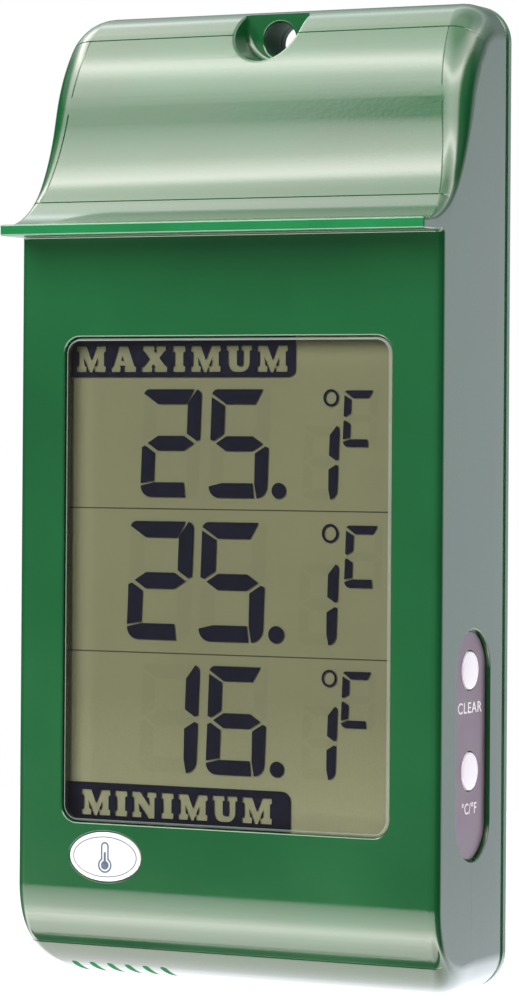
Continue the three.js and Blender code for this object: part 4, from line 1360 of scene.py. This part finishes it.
def make_materials():
    green = {"IOR": 1.5}
    return {
        "green_plastic": plain_surface("green_plastic", GREEN, (0.1, 0.15), 30, 0.08, bump=0.05,
                                       bump_scale=1400, **green),
        "green_satin": plain_surface("green_plastic_satin", GREEN, (0.27, 0.31), 60, 0.06, bump=0.3,
                                     bump_scale=2600, **green),
        # Painted highlight: the lip's front edge gets a lighter green, as if lit.
        "green_painted_lit_lip": plain_surface("green_plastic_painted_lit_lip", PAINTED_LIT_GREEN, (0.15, 0.22), 60, 0.08, bump=0.1,
                                    bump_scale=1400, **green),
        # Painted light: the vents' walls get the lighter green and a green glow, as if lit.
        "green_vent_painted_glow": plain_surface("green_plastic_vent_painted_glow", PAINTED_LIT_GREEN, (0.4, 0.5), 60, 0.08, bump=0.1, **{
            "Emission Strength": 0.6, "Emission Color": (0.06, 0.3, 0.13, 1)}),
        # Painted shade: a darker, rougher green for the walls of the fixing hole, in place of the shade
        # inside it.
        "green_matt_painted_shade": plain_surface("green_plastic_matt_painted_shade", (0.007, 0.045, 0.02), (0.6, 0.75), 60, 0.1,
                                    bump=0.3, bump_scale=2600, **{"Specular IOR Level": 0.15}),
        "clear_plastic": clear_sheet("clear_acrylic", (0.985, 0.99, 0.985), True),
        "clear_back": clear_sheet("clear_acrylic_back", (0.99, 0.99, 0.985), False),
        # Painted shade: the lens's clear sides get a dark green, in place of the shade seen through them.
        "lens_wall_painted_shade": plain_surface("acrylic_edge_painted_shade", (0.02, 0.05, 0.03), (0.1, 0.2), 200),
        # Painted highlight: the clear lens's bevel gets a half-opaque white, in place of the light it
        # catches.
        "lens_bevel_painted_highlight": plain_surface("acrylic_bevel_painted_highlight", (0.8, 0.84, 0.8), (0.08, 0.15), 200, 0.04,
                                    Alpha=0.35),
        "display": display_ground("display_ground", 1),
        "ink": plain_surface("display_ink", INK, (0.35, 0.45), 1500, 0.15,
                             **{"Specular IOR Level": 0.05}),
        "ghost": display_ground("display_ghost", 0.95),
        "divider": display_ground("display_divider", 0.22),
        "reflector_film": plain_surface("reflector_film", (0.3, 0.3, 0.22), (0.3, 0.5), 700,
                                        Metallic=0.6),
        "holder_plastic": plain_surface("holder_plastic", (0.72, 0.72, 0.68), (0.4, 0.5), 90, 0.05,
                                        bump=0.3),
        "elastomer": striped("connector_strip", (0.62, 0.2, 0.2), (0.05, 0.03, 0.03), 900, "X",
                             (0.5, 0.6)),
        "circuit_board": board_material(),
        "black_epoxy": plain_surface("black_epoxy", (0.01, 0.01, 0.011), (0.12, 0.3), 300, bump=0.4,
                                     bump_scale=600),
        "tinned_metal": plain_surface("tinned_metal", (0.62, 0.62, 0.63), (0.18, 0.35), 500, 0.08,
                                      bump=0.2, Metallic=1.0),
        "screw_steel": plain_surface("zinc_plated_steel", (0.5, 0.5, 0.52), (0.25, 0.4), 700, 0.12,
                                     bump=0.3, bump_scale=3500, Metallic=1.0),
        # Painted light: the buttons' white plastic glows, so it looks brighter than the lamps make it.
        "white_plastic": plain_surface("satin_white_painted_glow", (0.86, 0.82, 0.9), (0.25, 0.35), 250, 0.03,
                                       bump=0.15, **{"Emission Strength": 0.38,
                                                     "Emission Color": (1, 0.94, 1, 1)}),
        "badge_white": plain_surface("badge_enamel", (0.82, 0.83, 0.8), (0.08, 0.14), 120, 0.03),
        "badge_print": plain_surface("badge_print", (0.09, 0.13, 0.2), (0.2, 0.3), 900, 0.15),
        "black_plastic": plain_surface("black_plastic", (0.02, 0.02, 0.021), (0.4, 0.55), 200, 0.2,
                                       bump=0.4),
        "label_film": plain_surface("label_film", (0.19, 0.1, 0.17), (0.3, 0.38), 160, 0.05, bump=0.15,
                                    bump_scale=2200),
        # Painted light: the printed legends glow, so they look brighter than the lamps make them.
        "print_white_painted_glow": plain_surface("printed_white_painted_glow", (0.9, 0.87, 0.92), (0.35, 0.45), 2000, 0.05, **{
            "Emission Strength": 0.3, "Emission Color": (1, 0.97, 1, 1)}),
        "cell_wrap": plain_surface("cell_sleeve", (0.04, 0.12, 0.2), (0.15, 0.25), 160, 0.12),
        "spring_steel": plain_surface("nickel_plate", (0.62, 0.6, 0.56), (0.12, 0.25), 600, 0.08,
                                      Metallic=1.0),
        "red_insulation": plain_surface("red_insulation", (0.45, 0.015, 0.015), (0.35, 0.5), 500, 0.15,
                                        bump=0.2),
        "black_insulation": plain_surface("black_insulation", (0.014, 0.014, 0.014), (0.35, 0.5), 500,
                                          0.2, bump=0.2),
    }


CARRIED = {
    "lcd_reflector": "reflector_film", "lcd_holder": "holder_plastic",
    "zebra_strip_top": "elastomer", "zebra_strip_bottom": "elastomer",
    "main_board": "circuit_board", "chip_blob": "black_epoxy",
    "quartz_crystal": "tinned_metal", "capacitor": "cell_wrap",
    "resistor_1": "black_epoxy", "resistor_2": "black_epoxy",
    "board_screw_1": "screw_steel", "board_screw_2": "screw_steel",
    "board_screw_3": "screw_steel", "board_screw_4": "screw_steel",
    "clear_switch_body": "black_plastic", "unit_switch_body": "black_plastic",
    "clear_switch_plunger": "holder_plastic", "unit_switch_plunger": "holder_plastic",
    "positive_contact": "spring_steel", "negative_contact": "spring_steel",
    "red_wire": "red_insulation", "black_wire": "black_insulation",
    "thermistor_bead": "black_epoxy",
    "thermistor_lead_1": "tinned_metal", "thermistor_lead_2": "tinned_metal",
}


def paint(obj, *materials, part=None):
    """Gives the object its materials. part says, from a face's normal and centre, which one it has."""
    obj.data.materials.clear()
    for material in materials:
        obj.data.materials.append(material)
    if part:
        for face in obj.data.polygons:
            middle = face.center - Vector((0, 0, BASE_Z))
            face.material_index = part(face.normal, middle)


def put(obj, body, slot_name, *materials, part=None, angle=32):
    """Finishes a new piece: smooth shading, materials and the body it rides on. slot_name is not used."""
    if obj.type == "MESH":
        smooth(obj, angle)
    paint(obj, *materials, part=part)
    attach(obj, body)
    return obj


def build():
    finish = make_materials()
    for name, material in CARRIED.items():
        paint(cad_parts[name], finish[material])

    green = finish["green_plastic"]
    # matt is the darker green that paints shade on the walls of the fixing hole.
    satin, matt = finish["green_satin"], finish["green_matt_painted_shade"]
    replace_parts(put(front_case(), "case", "green_plastic", green, matt, finish["green_painted_lit_lip"],
                     finish["green_vent_painted_glow"], part=case_part), "front_case")
    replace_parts(put(rear_cover(), "case", "green_plastic", satin, matt, part=case_part), "rear_cover")
    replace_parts(put(battery_door(), "battery_door", "green_plastic", satin), "battery_door")
    for k, at in enumerate(CASE_FIXINGS, 1):
        screw = put(case_screw(f"case_screw_{k}_head", at), "case", "screw_steel", finish["screw_steel"])
        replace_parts(screw, f"case_screw_{k}")

    lens = put(window_lens(), "case", "clear_plastic", finish["clear_plastic"], finish["lens_bevel_painted_highlight"],
               finish["lens_wall_painted_shade"], finish["clear_back"], part=lens_part)
    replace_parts(lens, "window_lens")
    rear = put(lcd_ground(), "case", "display", finish["display"])
    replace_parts(rear, "lcd_glass")
    for name, row in ROWS.items():
        put(flat_shapes(f"figures_{name}", row_shapes(row), SEGMENT_Y), "case", "display", finish["ink"])
        put(flat_shapes(f"unlit_{name}", row_ghosts(row), GROUND_Y - 0.01, 0.01), "case", "display",
            finish["ghost"])
    for word, (ground, letters) in HEADINGS.items():
        shapes = [band(*ground), *lettering(word, *letters)]
        put(flat_shapes("heading_" + word.lower(), shapes, SEGMENT_Y), "case", "display", finish["ink"])
    edge = GLASS_LOW.x + DISPLAY_EDGE
    lines = [[(edge, z), (-edge, z), (-edge, z + DIVIDER_H), (edge, z + DIVIDER_H)] for z in DIVIDERS_Z]
    put(flat_shapes("dividers", lines, GROUND_Y - 0.01, 0.01), "case", "display", finish["divider"])

    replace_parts(put(side_label(), "case", "label_film", finish["label_film"]), "side_label")
    legends = {"clear_button": ("CLEAR", 1.2), "unit_button": ("\u00b0C/\u00b0F", 0.97)}
    for name, middle in BUTTONS.items():
        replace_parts(put(push_button(name), name, "white_plastic", finish["white_plastic"]), name)
        words, stretch = legends[name]
        text = printed_text(name + "_legend", words, 2.45, (middle.y, middle.z - 6),
                            LABEL_HIGH.x + 0.01, stretch)
        put(text, "case", "label_film", finish["print_white_painted_glow"])
    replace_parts(put(badge(), "case", "white_plastic", finish["badge_white"]), "badge")
    put(badge_picture(), "case", "white_plastic", finish["badge_print"])

    cell = put(aaa_cell(), "case", "cell_wrap", finish["cell_wrap"], finish["tinned_metal"],
               part=cell_part)
    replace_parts(cell, "aaa_cell")
    spring = put(negative_spring(), "case", "spring_steel", finish["spring_steel"])
    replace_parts(spring, "negative_spring")


bpy.context.scene.view_settings.view_transform = "Standard"
add_camera()
studio()
add_light("key", 36, 1.4, (-0.45, -1.2, 0.9), LIT_PLACE)
add_light("side", 4, 0.8, (1.3, -0.4, 0.2), LIT_PLACE)
add_light("low", 9, 0.9, (-0.2, -0.7, -1.2), LIT_PLACE)
add_floor()
build()

({name: [list(corner) for corner in box]
           for name, box in (("cad", cad_box), ("visual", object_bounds()))})
